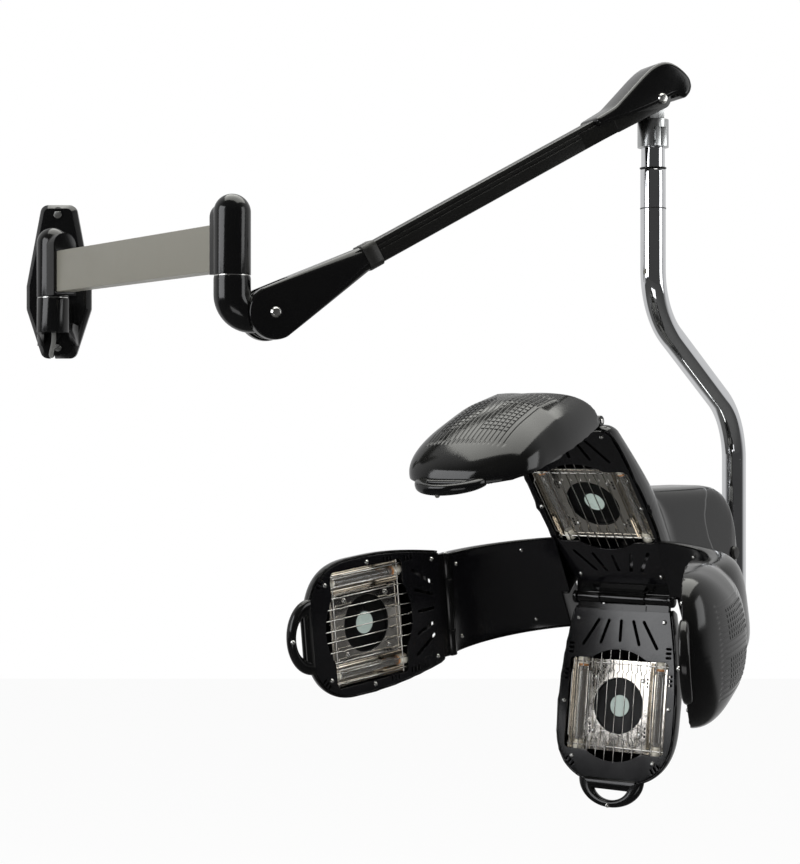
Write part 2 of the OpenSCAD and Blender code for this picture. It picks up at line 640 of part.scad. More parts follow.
// Outline of a pod: a flared body with a full round end
flare_len = 130;
round_from = 165;
round_pow = 2.6;
function pod_half(y, inset) = y < round_from
    ? pod_hinge_hw - inset + (pod_hw - pod_hinge_hw) * sin(90 * min(1, (y - hinge_edge) / flare_len))
    : (pod_hw - inset) * pow(max(0, 1 - pow((y - round_from) / (pod_len - inset - round_from), round_pow)), 1 / round_pow);
function pod_side_y(inset) = concat([for (i = [0 : 5]) hinge_edge + inset + i * (round_from - hinge_edge - inset) / 6],
    [for (i = [0 : 9]) round_from + (pod_len - inset - round_from) * sin(90 * i / 10)]);
function pod_line(inset) = let (ys = pod_side_y(inset), n = len(ys)) concat(
    [[0, hinge_edge + inset]], [for (y = ys) [pod_half(y, inset), y]], [[0, pod_len - inset]],
    [for (i = [n - 1 : -1 : 0]) [-pod_half(ys[i], inset), ys[i]]]);
pod_mid = [0, 112];
hub_mid = [0, 16];
end_thin = 0.3;

// Hinge barrels: the pod carries the outer two, the hub or wing the middle one
barrel_gap = 0.5;
barrel_part = barrel_len / 4;
module barrel_row(inner) {
    if (inner) rod(barrel_d, -barrel_part + barrel_gap, barrel_part - barrel_gap);
    else for (side = [-1, 1]) rod(barrel_d, side < 0 ? -barrel_len / 2 : barrel_part,
        side < 0 ? -barrel_part : barrel_len / 2);
}
module pod_shell() color(black) difference() {
    union() {
        translate([0, 0, -hinge_drop]) dome_shell(pod_line(0), pod_mid, pod_depth, shell_wall, 1);
        translate([0, pod_len - 8, -hinge_drop]) linear_extrude(handle_t) difference() {
            handle_loop();
            handle_opening();
        }
        barrel_row(false);
        for (side = [-1, 1]) translate([side < 0 ? -barrel_len / 2 : barrel_part, 0, 0])
            cube([barrel_part, hinge_edge + 2, barrel_d / 2 - 2]);
    }
    rod(hinge_pin_d + 2 * run_gap, -barrel_len, barrel_len);
}
module handle_loop() intersection() {
    scale([1, (handle_out + 8) / handle_hw]) circle(handle_hw);
    translate([-handle_hw, 7]) square([2 * handle_hw, 80]);
}
module handle_opening() intersection() {
    translate([0, 8]) scale([1, 0.72]) circle(handle_hw - 22);
    translate([-60, 13]) square([120, 60]);
}

// Inner panel with its window, fan slots, side vents and screw bosses, about the fan centre
slot_w = 4.2;
module window2d() {
    square([2 * window_hw, 2 * window_hl], center = true);
    circle(window_r);
}
module fan_slots2d(dir) for (s = [[[0, 113.6], [0, 87.4]], [[19, 113.6], [29.4, 83.6]], [[-19, 113.6], [-29.4, 83.6]],
        [[35, 113.6], [56.8, 79.8]], [[-35, 113.6], [-56.8, 79.8]]])
    slot2d([s[0][0], dir * s[0][1]], [s[1][0], dir * s[1][1]], slot_w);
vent_x = 79;
module side_vents2d() for (side = [-1, 1], y = [-80, -44], i = [0 : 2])
    translate([side * (vent_x - (y < -60 ? 4 : 0)), y + i * 6]) square([8, 3], center = true);
module pod_panel() color(satin) translate([0, 0, -hinge_drop]) linear_extrude(panel_t) difference() {
    polygon(pod_line(shell_wall + 0.6));
    translate([0, fan_reach]) {
        window2d();
        fan_slots2d(-1);
        side_vents2d();
    }
}
module hub_panel() color(satin) at_hub() linear_extrude(panel_t) difference() {
    polygon(hub_line(shell_wall + 0.6));
    window2d();
    fan_slots2d(-1);
    fan_slots2d(1);
}

// Guard, heater and fan, about the fan centre and behind the panel
guard_z = panel_t + wire_d / 2 + 0.1;
module guard() color(chrome) {
    pitch = 2 * (window_hw - 6) / (guard_wires - 1);
    for (i = [0 : guard_wires - 1]) let (x = -window_hw + 6 + i * pitch, half = abs(x) < 40 ? window_r + 1 : window_hl + 2)
        translate([x, 0, guard_z]) across(wire_d, -half, half, $fn = 16);
    for (side = [-1, 1]) translate([0, side * (window_hl - 6), guard_z + wire_d - 0.3])
        rod(wire_d + 0.3, -window_hw - 2, window_hw + 2, $fn = 16);
}
trough_r = 15;
trough_z = 13;
trough_l = 2 * window_hl - 2;
module heater() {
    color(bright) {
        difference() {
            union() {
                translate([-lamp_x + trough_r - 0.5, -trough_l / 2, fan_seat - 1])
                    cube([2 * (lamp_x - trough_r) + 1, trough_l, 1]);
                for (side = [-1, 1]) translate([side * (lamp_x - trough_r + 0.5) - 0.5, -trough_l / 2, fan_seat - 1])
                    cube([1, trough_l, trough_z - fan_seat + 2]);
            }
            translate([0, 0, -1]) cylinder(d = fan_w - 4, h = 40);
            for (x = [-1, 1], y = [-1, 1]) translate([x * fan_pitch / 2, y * fan_pitch / 2, 0]) cylinder(d = 4, h = 40);
        }
        for (side = [-1, 1]) translate([side * lamp_x, 0, trough_z]) difference() {
            across(2 * trough_r, -trough_l / 2, trough_l / 2);
            across(2 * trough_r - 2, -trough_l / 2 + 1, trough_l / 2 - 1);
            translate([-40, -trough_l, -40]) cube([80, 2 * trough_l, 40]);
            across(cap_d, -trough_l, trough_l);
        }
    }
    color(ceramic) for (side = [-1, 1]) translate([side * lamp_x, 0, trough_z]) {
        across(lamp_d, -window_hl + 8, window_hl - 8);
        across(cap_d, -window_hl - 4, -window_hl + 8);
        across(cap_d, window_hl - 8, window_hl + 4);
    }
}
fan_back = fan_seat + 0.1 + fan_d;
motor_d = 34;
module fan_frame() color(satin) difference() {
    union() {
        difference() {
            translate([-fan_w / 2, -fan_w / 2, fan_seat + 0.1]) cube([fan_w, fan_w, fan_d]);
            translate([0, 0, 0]) cylinder(d = fan_w - 3, h = 60);
        }
        intersection() {
            union() {
                translate([0, 0, fan_back - 3]) cylinder(d = motor_d, h = 3);
                for (a = [45, 135]) rotate([0, 0, a]) translate([-fan_w, -2, fan_back - 3]) cube([2 * fan_w, 4, 3]);
            }
            translate([0, 0, fan_back - 3]) cylinder(d = fan_w - 2, h = 3);
        }
    }
    translate([0, 0, fan_back - 4]) cylinder(d = shaft_d + 2 * run_gap, h = 5);
    for (x = [-1, 1], y = [-1, 1]) translate([x * fan_pitch / 2, y * fan_pitch / 2, 0]) cylinder(d = 4, h = 60);
}
shaft_d = 4;
rotor_r = 35.5;
module rotor() color(satin) {
    translate([0, 0, fan_seat + 2]) cylinder(d = motor_d + 2, h = fan_d - 6);
    translate([0, 0, fan_seat + fan_d - 6]) cylinder(d = shaft_d, h = 6);
    for (i = [0 : blades - 1]) rotate([0, 0, i * 360 / blades]) translate([motor_d / 2 - 1, 0, fan_seat + fan_d / 2])
        rotate([38, 0, 0]) translate([0, -9, -0.8]) cube([rotor_r - motor_d / 2, 18, 1.6]);
}

// Hub: the middle moulding with the two side wings and the band behind the bottom hinge
hub_depth = 72;
hub_round = 14;
function hub_line(inset) = let (h0 = -hub_top + hinge_edge + inset, h1 = hub_bottom - hinge_edge - inset, w = hub_hw - inset)
    concat([[0, h0]], [for (a = [0 : 22.5 : 90]) [w - 8 - hub_round + hub_round * sin(a), h0 + hub_round * (1 - cos(a))]],
        [for (i = [1 : 5]) [w - 8 + 8 * sin(30 * i), h0 + hub_round + i * (h1 - h0 - 2 * hub_round) / 6]],
        [for (a = [90 : -22.5 : 0]) [w - 8 - hub_round + hub_round * sin(a), h1 - hub_round * (1 - cos(a))]],
        [[0, h1]],
        [for (a = [0 : 22.5 : 90]) [-w + 8 + hub_round - hub_round * sin(a), h1 - hub_round * (1 - cos(a))]],
        [for (i = [5 : -1 : 1]) [-w + 8 - 8 * sin(30 * i), h0 + hub_round + i * (h1 - h0 - 2 * hub_round) / 6]],
        [for (a = [90 : -22.5 : 0]) [-w + 8 + hub_round - hub_round * sin(a), h0 + hub_round * (1 - cos(a))]]);
wing_steps = 8;
root_x = 78;
root_lean = 28;
root_up = 84;
root_down = 58;
root_d = 50;
wing_rx = side_out - root_x;
wing_ry = 116;
wing_end = -side_fwd + hinge_edge;
function wing_at(i) = let (t = i / wing_steps, a = 90 * t,
        b = wing_end + wing_ry * cos(a), lean = root_lean + (side_dip - root_lean) * t)
    [[root_x + wing_rx * sin(a), b, -side_low + (b + side_fwd) * tan(side_dip)],
        unit([wing_ry * sin(a), wing_rx * cos(a) + 0.001, 0]), [0, -sin(lean), cos(lean)],
        wing_hh + (root_up - wing_hh) * pow(1 - t, 2), wing_hh + (root_down - wing_hh) * (1 - t),
        root_d + (wing_d - root_d) * t];
function wing_pt(s, n, h) = s[0] + n * s[1] + h * s[2];
wing_soft = 22;
function wing_loop(s, w) = let (u = s[3] - w, l = s[4] - w, d = s[5] - w, k = wing_soft)
    [wing_pt(s, 0, u), wing_pt(s, 0.45 * d, u - 3), wing_pt(s, d, u - k), wing_pt(s, d, k - l),
        wing_pt(s, 0.45 * d, 3 - l), wing_pt(s, 0, -l)];
function wing_section(s) = concat(wing_loop(s, 0), [for (i = [5 : -1 : 0]) wing_loop(s, shell_wall)[i]]);
module wing_shell() polyhedron(
    points = [for (i = [0 : wing_steps]) each wing_section(wing_at(i))],
    faces = concat(strip_faces(wing_steps + 1, 12),
        [for (k = [0 : 4]) [k, 11 - k, 10 - k, k + 1]],
        [for (k = [0 : 4]) [for (q = [k, k + 1, 10 - k, 11 - k]) q + 12 * wing_steps]]));
liner_gap = 0.5;
function liner_section(s) = let (u = s[3] - shell_wall - liner_gap, l = s[4] - shell_wall - liner_gap)
    [wing_pt(s, 0, u), wing_pt(s, panel_t, u), wing_pt(s, panel_t, -l), wing_pt(s, 0, -l)];
module wing_liner() polyhedron(
    points = [for (i = [0 : wing_steps]) each liner_section(wing_at(i))],
    faces = concat(strip_faces(wing_steps + 1, 4), [[3, 2, 1, 0]],
        [[for (k = [0 : 3]) k + 4 * wing_steps]]));
module wing_liners() color(satin) difference() {
    at_head() {
        wing_liner();
        mirror([1, 0, 0]) wing_liner();
    }
    bottom_pod_room();
}
module wing_hinge_end(side) at_side_hinge(side) rotate([0, 0, 180]) rotate([0, side * -90, 0]) difference() {
    union() {
        translate([-wing_hh + 2.5, -hinge_edge - 1, 3.2]) cube([2 * wing_hh - 5, 4, 11]);
        barrel_row(true);
        translate([-barrel_part + barrel_gap, -hinge_edge, 0]) cube([2 * (barrel_part - barrel_gap), hinge_edge, 5]);
    }
    rod(hinge_pin_d, -barrel_len, barrel_len);
}
module hub_shell() color(black) {
    at_hub() difference() {
        union() {
            dome_shell(hub_line(0), hub_mid, hub_depth, shell_wall, -1);
            translate([0, -hub_top, hinge_drop]) {
                barrel_row(true);
                translate([-barrel_part + barrel_gap, 0, 0]) cube([2 * (barrel_part - barrel_gap), hinge_edge + 2, 5]);
            }
            translate([0, hub_bottom, -hub_step]) {
                barrel_row(true);
                translate([-barrel_part + barrel_gap, -hinge_edge - 2, 0])
                    cube([2 * (barrel_part - barrel_gap), 5, hub_step + 4]);
                translate([-barrel_part + barrel_gap, -hinge_edge - 2, 0])
                    cube([2 * (barrel_part - barrel_gap), hinge_edge + 2, 5]);
            }
        }
        translate([0, -hub_top, hinge_drop]) rod(hinge_pin_d, -barrel_len, barrel_len);
        translate([0, hub_bottom, -hub_step]) rod(hinge_pin_d, -barrel_len, barrel_len);
    }
}
wing_gap = 0.3;
// Room for the sides of the bottom pod as it swings between the lower ends of the wings
module bottom_pod_room() at_hub() translate([-pod_hw + 3, hub_bottom - 11, -120]) cube([2 * pod_hw - 6, 140, 260]);
module side_wings() color(black) difference() {
    union() {
        at_head() for (side = [0, 1]) mirror([side, 0, 0]) wing_shell();
        for (side = [-1, 1]) wing_hinge_end(side);
    }
    at_hub() {
        dome_solid(hub_line(-wing_gap), hub_mid, hub_depth + wing_gap, -1);
        translate([0, 0, -wing_gap]) linear_extrude(3 * wing_gap) polygon(hub_line(-wing_gap));
    }
    bottom_pod_room();
}
module hinge_pins() color(bright) {
    at_hub() translate([0, -hub_top, hinge_drop]) rod(hinge_pin_d, -barrel_len / 2 - 1, barrel_len / 2 + 1);
    at_hub() translate([0, hub_bottom, -hub_step]) rod(hinge_pin_d, -barrel_len / 2 - 1, barrel_len / 2 + 1);
    for (side = [-1, 1]) at_side_hinge(side) rotate([0, 90, 0]) rod(hinge_pin_d, -barrel_len / 2 - 1, barrel_len / 2 + 1);
}

// Rear housing behind the hub and its end cap, which carries the tilt joint
house_round = 16;
house_wall = 3;
rear_top = 270;
rear_low = 336;
tilt_edge = -52;
module house_body(shrink) hull() for (x = [-1, 1], p = [[56, house_top], [rear_top, house_top], [rear_top + 34, 8],
        [rear_low, tilt_edge], [rear_low - 6, -house_low], [90, -house_low]])
    translate([x * (house_hw - house_round), p[0] - house_round, p[1] + (p[1] > -60 ? -house_round : house_round)])
        sphere(house_round - shrink, $fn = 24);
module seam_zone(gap) translate([-house_hw - 20, 0, 0]) rotate([90, 0, 90])
    linear_extrude(2 * house_hw + 40) offset(delta = -gap) polygon([[249, house_top + 20], [249, house_top], [226, 6],
        [218, -14], [222, -36], [240, -62], [272, -90], [300, -house_low - 20], [rear_low + 40, -house_low - 20],
        [rear_low + 40, house_top + 20]]);
module house_shell() difference() {
    house_body(0);
    house_body(house_wall);
}
key_gap = 0.4;
panel_x = -house_hw;
panel_y = 166;
panel_z = -34;
module at_controls() translate([panel_x, panel_y, panel_z]) rotate([0, -90, 0]) children();
control_t = 2;
control_l = 96;
control_h = 52;
module rear_housing() color(black) at_head() difference() {
    house_shell();
    seam_zone(0);
    rotate([hub_tilt - 90, 0, 0]) dome_solid([for (p = hub_line(0)) p * 1.004], hub_mid, hub_depth + 0.4, -1);
    translate([-200, -100, -200]) cube([400, 160, 400]);
    at_controls() translate([-control_h / 2, -control_l / 2, -0.5]) cube([control_h, control_l, 4]);
    at_controls() for (i = [0 : 2]) button_seat(i) translate([0, 0, -house_wall - 1])
            cylinder(d = button_d + 2 * key_gap, h = house_wall + 2);
    rotate([hub_tilt - 90, 0, 0]) {
        translate([-200, -300, -200]) cube([400, 600, 200.3]);
        translate([-barrel_part - 1, hub_bottom - hinge_edge - 3, -1]) cube([2 * barrel_part + 2, 7, 6]);
    }
}
slot_gap = 1;
module end_cap() color(black) at_head() difference() {
    union() {
        intersection() {
            house_shell();
            seam_zone(0.2);
        }
        for (side = [0, 1]) mirror([side, 0, 0]) translate([lug_w / 2 + slot_gap, tilt_back, -tilt_low])
            rotate([0, 90, 0]) cylinder(d = tilt_bolt_d + 14, h = house_hw - lug_w / 2 - slot_gap - 1);
    }
    translate([-lug_w / 2 - slot_gap, tilt_back - lug_hh - 4, -house_low + 8])
        cube([lug_w + 2 * slot_gap, 100, house_low - 14]);
    translate([0, tilt_back, -tilt_low]) rotate([0, 90, 0]) cylinder(d = tilt_bolt_d, h = 300, center = true);
}
module tilt_bolt() color(bright) at_head() translate([0, tilt_back, -tilt_low]) rotate([0, 90, 0]) {
    cylinder(d = tilt_bolt_d, h = 2 * house_hw, center = true);
    for (side = [0, 180]) rotate([side, 0, 0]) translate([0, 0, house_hw]) cylinder(d1 = 20, d2 = 16, h = 4);
}

// Control panel with its push buttons on the side of the rear housing
module button_seat(i) translate([-8, (i - 1) * button_pitch, 0]) children();
module control_panel() color(satin) at_head() at_controls() translate([0, 0, -0.4]) difference() {
    translate([-control_h / 2 + 0.4, -control_l / 2 + 0.4, 0]) cube([control_h - 0.8, control_l - 0.8, control_t]);
    for (i = [0 : 2]) button_seat(i) translate([0, 0, -1]) cylinder(d = button_d + 2 * key_gap, h = 5);
    translate([6, -22, control_t - 0.8]) cube([14, 44, 2]);
}
module button(i) at_head() at_controls() button_seat(i) {
    translate([0, 0, -4]) cylinder(d = button_d, h = 4 + control_t - 0.4 + button_show);
    translate([0, 0, -5]) cylinder(d = button_d + 4, h = 1.6);
}
module power_button() color("firebrick") button(0);
module time_up_button() color(grey) button(1);
module time_down_button() color(grey) button(2);

// Pods, each built from the same parts in its own place
module pod_core() translate([0, fan_reach, -hinge_drop]) children();
module hub_guard() at_hub() guard();
module hub_heater() at_hub() heater();
module hub_fan() at_hub() fan_frame();
module hub_rotor() at_hub() rotor();
module top_shell() at_top() pod_shell();
module top_panel() at_top() pod_panel();
module top_guard() at_top() pod_core() guard();
module top_heater() at_top() pod_core() heater();
module top_fan() at_top() pod_core() fan_frame();
module top_rotor() at_top() pod_core() rotor();
module left_shell() at_left() pod_shell();
module left_panel() at_left() pod_panel();
module left_guard() at_left() pod_core() guard();
module left_heater() at_left() pod_core() heater();
module left_fan() at_left() pod_core() fan_frame();
module left_rotor() at_left() pod_core() rotor();
module right_shell() at_right() pod_shell();
module right_panel() at_right() pod_panel();
module right_guard() at_right() pod_core() guard();
module right_heater() at_right() pod_core() heater();
module right_fan() at_right() pod_core() fan_frame();
module right_rotor() at_right() pod_core() rotor();
module bottom_shell() at_bottom() pod_shell();
module bottom_panel() at_bottom() pod_panel();
module bottom_guard() at_bottom() pod_core() guard();
module bottom_heater() at_bottom() pod_core() heater();
module bottom_fan() at_bottom() pod_core() fan_frame();
module bottom_rotor() at_bottom() pod_core() rotor();

wall_plate();
wall_screws();
supply_cable();
terminal_block();
swivel_pins();
wall_knuckle();
swing_bar();
elbow_upper();
elbow_lower();
arm_near_cover();
arm_collar();
arm_beam();
arm_far_cover();
arm_pins();
balance_spring();
tie_rod();
hanger_bracket();
tube_neck();
hood_tube();
tube_rings();
tilt_bolt();
rear_housing();
end_cap();
wing_liners();
hinge_pins();
control_panel();
power_button();
time_up_button();
time_down_button();
side_wings();
hub_shell();
hub_panel();
hub_guard();
hub_heater();
hub_fan();
hub_rotor();
top_shell();
top_panel();
top_guard();
top_heater();
top_fan();
top_rotor();
left_shell();
left_panel();
left_guard();
left_heater();
left_fan();
left_rotor();
right_shell();
right_panel();
right_guard();
right_heater();
right_fan();
right_rotor();
bottom_shell();
bottom_panel();
bottom_guard();
bottom_heater();
bottom_fan();
bottom_rotor();
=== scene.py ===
"""Wall-mounted infrared hood dryer, dressed over its packed construction.

Lengths in the modelling code are millimetres in the frame of each body, and a piece is turned to metres
in the shared frame when it is finished.
"""

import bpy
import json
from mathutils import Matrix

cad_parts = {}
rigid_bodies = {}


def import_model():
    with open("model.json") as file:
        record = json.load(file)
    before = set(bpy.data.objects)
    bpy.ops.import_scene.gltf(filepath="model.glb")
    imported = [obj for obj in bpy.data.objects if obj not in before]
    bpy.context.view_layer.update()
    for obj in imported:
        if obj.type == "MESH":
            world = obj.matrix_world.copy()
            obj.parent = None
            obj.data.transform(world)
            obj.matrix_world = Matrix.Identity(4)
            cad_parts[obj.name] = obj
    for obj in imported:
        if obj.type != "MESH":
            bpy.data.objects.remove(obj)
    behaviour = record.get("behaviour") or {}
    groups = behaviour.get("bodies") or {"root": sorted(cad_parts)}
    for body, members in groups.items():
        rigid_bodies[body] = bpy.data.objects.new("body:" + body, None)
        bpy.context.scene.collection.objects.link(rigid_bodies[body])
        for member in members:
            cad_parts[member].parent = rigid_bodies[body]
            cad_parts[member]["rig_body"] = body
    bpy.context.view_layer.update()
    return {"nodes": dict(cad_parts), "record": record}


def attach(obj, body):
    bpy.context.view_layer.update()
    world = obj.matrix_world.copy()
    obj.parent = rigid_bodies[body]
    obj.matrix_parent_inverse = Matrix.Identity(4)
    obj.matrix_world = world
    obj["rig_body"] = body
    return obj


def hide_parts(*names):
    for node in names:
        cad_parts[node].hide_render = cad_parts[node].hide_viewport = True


bl_info = {
    "name": "Infrared Hood Dryer",
    "version": (1, 0, 0),
    "blender": (4, 5, 0),
    "location": "View3D > Sidebar > Hood Dryer",
    "description": "Builds the finished look of a wall-mounted infrared hood dryer over its construction",
    "category": "Object",
}

import json
import math

import bmesh
import bpy
import numpy as np
from bpy.props import FloatProperty, FloatVectorProperty, IntProperty, PointerProperty
from mathutils import Matrix, Vector
from mathutils.geometry import delaunay_2d_cdt

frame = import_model()
NODES = frame["nodes"]
MM = 0.001
POD_NAMES = ("hub", "top", "left", "right", "bottom")
OUTER_PODS = POD_NAMES[1:]


# Frames of the moving bodies, in millimetres
def shifted(x, y, z):
    m = np.eye(4)
    m[:3, 3] = (x, y, z)
    return m


def turned(axis, degrees):
    return np.array(Matrix.Rotation(math.radians(degrees), 4, axis))


BAR_SWING, ARM_HEADING, ARM_RISE, HOOD_HEADING = 34.9, 20.8, 28.8, 36.0
HUB_TILT, TOP_FOLD, BOTTOM_FOLD, LEFT_OPEN, RIGHT_OPEN, SIDE_DIP = 40.0, 67.5, 48.0, 12.0, 24.0, 7.0
AXIS_OUT, BAR_LEN, TONGUE_REACH, PIVOT_Z, ARM_LEN = 60.0, 530.0, 50.0, -75.0, 633.0
HUB_REACH, HUB_DROP, HUB_TOP, HUB_BOTTOM, HUB_STEP = 168.0, 558.0, 146.0, 152.0, 14.0
SIDE_OUT, SIDE_FWD, SIDE_LOW, FAN_REACH, HINGE_DROP = 189.0, 56.0, 132.0, 144.0, 3.0
TILT_BACK, TILT_LOW = 306.0, 72.0


def body_frames():
    """The frame of each body at rest, built up along the chain as the real joints are"""
    at = {}
    at["wall"] = shifted(0, -AXIS_OUT, 0)
    at["bar"] = at["wall"] @ turned("Z", BAR_SWING - 90)
    at["elbow"] = at["bar"] @ shifted(BAR_LEN, 0, 0) @ turned("Z", ARM_HEADING + 90 - BAR_SWING)
    at["lift"] = at["elbow"] @ shifted(TONGUE_REACH, 0, PIVOT_Z)
    at["arm"] = at["lift"] @ turned("Y", -ARM_RISE)
    at["hanger"] = at["arm"] @ shifted(ARM_LEN, 0, 0) @ turned("Y", ARM_RISE)
    at["tube"] = at["hanger"] @ turned("Z", -HOOD_HEADING - ARM_HEADING)
    at["head"] = at["tube"] @ shifted(0, -HUB_REACH, -HUB_DROP)
    at["hub"] = at["head"] @ turned("X", HUB_TILT - 90)
    at["top"] = at["hub"] @ shifted(0, -HUB_TOP, HINGE_DROP) @ turned("Z", 180) @ turned("X", -TOP_FOLD)
    at["bottom"] = at["hub"] @ shifted(0, HUB_BOTTOM, -HUB_STEP) @ turned("X", -BOTTOM_FOLD)
    for name, side, opening in (("left", -1, -LEFT_OPEN), ("right", 1, RIGHT_OPEN)):
        hinge = at["head"] @ shifted(side * SIDE_OUT, -SIDE_FWD, -SIDE_LOW) @ turned("X", SIDE_DIP)
        at[name] = hinge @ turned("Z", 180 + opening) @ turned("Y", -side * 90)
    return at


AT = body_frames()
FAN_AT = {"hub": AT["hub"]}
FAN_AT.update({pod: AT[pod] @ shifted(0, FAN_REACH, -HINGE_DROP) for pod in OUTER_PODS})
POD_BODY = {"hub": "hood", "top": "top_pod", "left": "left_pod", "right": "right_pod", "bottom": "bottom_pod"}


# Sizes and colours that a user would change
class HoodDryerSizes(bpy.types.PropertyGroup):
    """Sizes of the moulded and fitted details, in millimetres"""

    shell_wall: FloatProperty(
        name="Shell Wall", description="Wall of the moulded shells", default=3.0, min=2.0, max=4.0
    )
    pod_depth: FloatProperty(
        name="Pod Depth", description="Depth of a pod's shell", default=65.0, min=60.0, max=76.0
    )
    hub_depth: FloatProperty(
        name="Hub Depth", description="Depth of the hub's shell", default=72.0, min=64.0, max=80.0
    )
    groove_pitch: FloatProperty(
        name="Groove Pitch", description="Distance between two grooves of a shell", default=6.4, min=5.0,
        max=8.0
    )
    groove_depth: FloatProperty(
        name="Groove Depth", description="Depth of a groove", default=1.0, min=0.4, max=1.6
    )
    vent_pitch: FloatProperty(
        name="Vent Pitch", description="Distance between two vents of a row", default=7.6, min=5.0, max=10.0
    )
    wire: FloatProperty(
        name="Guard Wire", description="Diameter of a guard wire", default=1.6, min=1.2, max=2.4
    )
    wires: IntProperty(
        name="Guard Wires", description="Number of lengthwise wires in a guard", default=11, min=7, max=17
    )
    blades: IntProperty(
        name="Fan Blades", description="Number of blades of a fan wheel", default=7, min=5, max=9
    )
    screw: FloatProperty(
        name="Screw Head", description="Diameter of a pod's screw head", default=6.4, min=5.0, max=8.0
    )


class HoodDryerColours(bpy.types.PropertyGroup):
    """Base colours of the finishes"""

    shell: FloatVectorProperty(
        name="Shell", description="Gloss black moulding", subtype="COLOR", default=(0.0032, 0.0032, 0.0034)
    )
    panel: FloatVectorProperty(
        name="Panel", description="Satin inner panel", subtype="COLOR", default=(0.0036, 0.0036, 0.0044)
    )
    bar: FloatVectorProperty(
        name="Bar", description="Grey enamelled bar", subtype="COLOR", default=(0.185, 0.178, 0.15)
    )
    chrome: FloatVectorProperty(
        name="Chrome", description="Polished tube", subtype="COLOR", default=(0.86, 0.87, 0.89)
    )
    label: FloatVectorProperty(
        name="Fan Disc", description="Plain disc on a fan's motor", subtype="COLOR",
        default=(0.52, 0.62, 0.58)
    )


# Shader groups that several finishes share
def shader_group(name, inputs, outputs):
    group = bpy.data.node_groups.new(name, "ShaderNodeTree")
    for label, value in inputs:
        socket = group.interface.new_socket(name=label, in_out="INPUT", socket_type="NodeSocketFloat")
        socket.default_value = value
    for label in outputs:
        group.interface.new_socket(name=label, in_out="OUTPUT", socket_type="NodeSocketFloat")
    return group, group.nodes.new("NodeGroupInput"), group.nodes.new("NodeGroupOutput")


def maths(tree, operation, a, b):
    node = tree.nodes.new("ShaderNodeMath")
    node.operation = operation
    for k, value in enumerate((a, b)):
        if isinstance(value, (int, float)):
            node.inputs[k].default_value = value
        else:
            tree.links.new(value, node.inputs[k])
    return node.outputs[0]


def noise(tree, vector, scale, detail=3.0, rough=0.5):
    node = tree.nodes.new("ShaderNodeTexNoise")
    node.inputs["Detail"].default_value = detail
    node.inputs["Roughness"].default_value = rough
    tree.links.new(vector, node.inputs["Vector"])
    if isinstance(scale, (int, float)):
        node.inputs["Scale"].default_value = scale
    else:
        tree.links.new(scale, node.inputs["Scale"])
    return node.outputs["Fac"]


def handled_group():
    """Wiped and handled surface: cloudy smears, the fine waviness of a moulding, and a film on upward faces
    that is partly settled dust and partly a painted sheen of the overhead light
    """
    group, given, out = shader_group(
        "Handled Surface", (("Smear Scale", 14.0), ("Grain Scale", 900.0), ("Dust", 0.3)),
        ("Smear", "Dust", "Grain")
    )
    place = group.nodes.new("ShaderNodeTexCoord").outputs["Object"]
    smear = noise(group, place, given.outputs["Smear Scale"], 5.0, 0.62)
    grain = noise(group, place, given.outputs["Grain Scale"], 2.0, 0.5)
    normal = group.nodes.new("ShaderNodeSeparateXYZ")
    group.links.new(group.nodes.new("ShaderNodeNewGeometry").outputs["Normal"], normal.inputs[0])
    # Upward faces take a film: partly settled dust and specks, partly a painted sheen standing for the
    # overhead light's reflection
    upward = maths(group, "MAXIMUM", normal.outputs["Z"], 0.0)
    speck = maths(group, "GREATER_THAN", noise(group, place, 520.0, 2.0, 0.7), 0.66)
    dust_and_sheen = maths(group, "MULTIPLY", upward, maths(group, "ADD", maths(group, "MULTIPLY", speck, 0.5), smear))
    group.links.new(smear, out.inputs["Smear"])
    group.links.new(maths(group, "MULTIPLY", dust_and_sheen, given.outputs["Dust"]), out.inputs["Dust"])
    group.links.new(grain, out.inputs["Grain"])
    return group


def drawn_group():
    """Fine lines left by drawing or polishing a metal, longest along the least stretched axis"""
    group, given, out = shader_group(
        "Drawn Lines", (("Across X", 60.0), ("Across Y", 60.0), ("Across Z", 3.0)), ("Lines", "Blotch")
    )
    place = group.nodes.new("ShaderNodeTexCoord").outputs["Object"]
    stretch = group.nodes.new("ShaderNodeCombineXYZ")
    for k, axis in enumerate("XYZ"):
        group.links.new(given.outputs["Across " + axis], stretch.inputs[k])
    scaled = group.nodes.new("ShaderNodeVectorMath")
    scaled.operation = "MULTIPLY"
    group.links.new(place, scaled.inputs[0])
    group.links.new(stretch.outputs[0], scaled.inputs[1])
    group.links.new(noise(group, scaled.outputs[0], 14.0, 4.0, 0.6), out.inputs["Lines"])
    group.links.new(noise(group, place, 24.0, 4.0, 0.6), out.inputs["Blotch"])
    return group


def finish_tree(name):
    material = bpy.data.materials.new(name)
    material.use_nodes = True
    tree = material.node_tree
    tree.nodes.clear()
    output = tree.nodes.new("ShaderNodeOutputMaterial")
    shader = tree.nodes.new("ShaderNodeBsdfPrincipled")
    tree.links.new(shader.outputs[0], output.inputs["Surface"])
    return material, tree, shader


def grouped(tree, group, **values):
    node = tree.nodes.new("ShaderNodeGroup")
    node.node_tree = group
    for label, value in values.items():
        node.inputs[label.replace("_", " ")].default_value = value
    return node


def blended(tree, factor, low, high):
    node = tree.nodes.new("ShaderNodeMix")
    node.data_type = "RGBA"
    tree.links.new(factor, node.inputs[0])
    for socket, colour in ((node.inputs[6], low), (node.inputs[7], high)):
        socket.default_value = (*colour, 1.0)
    return node.outputs[2]


def ranged(tree, value, low, high, start=0.3, end=0.7):
    node = tree.nodes.new("ShaderNodeMapRange")
    tree.links.new(value, node.inputs["Value"])
    for label, number in (("From Min", start), ("From Max", end), ("To Min", low), ("To Max", high)):
        node.inputs[label].default_value = number
    return node.outputs[0]


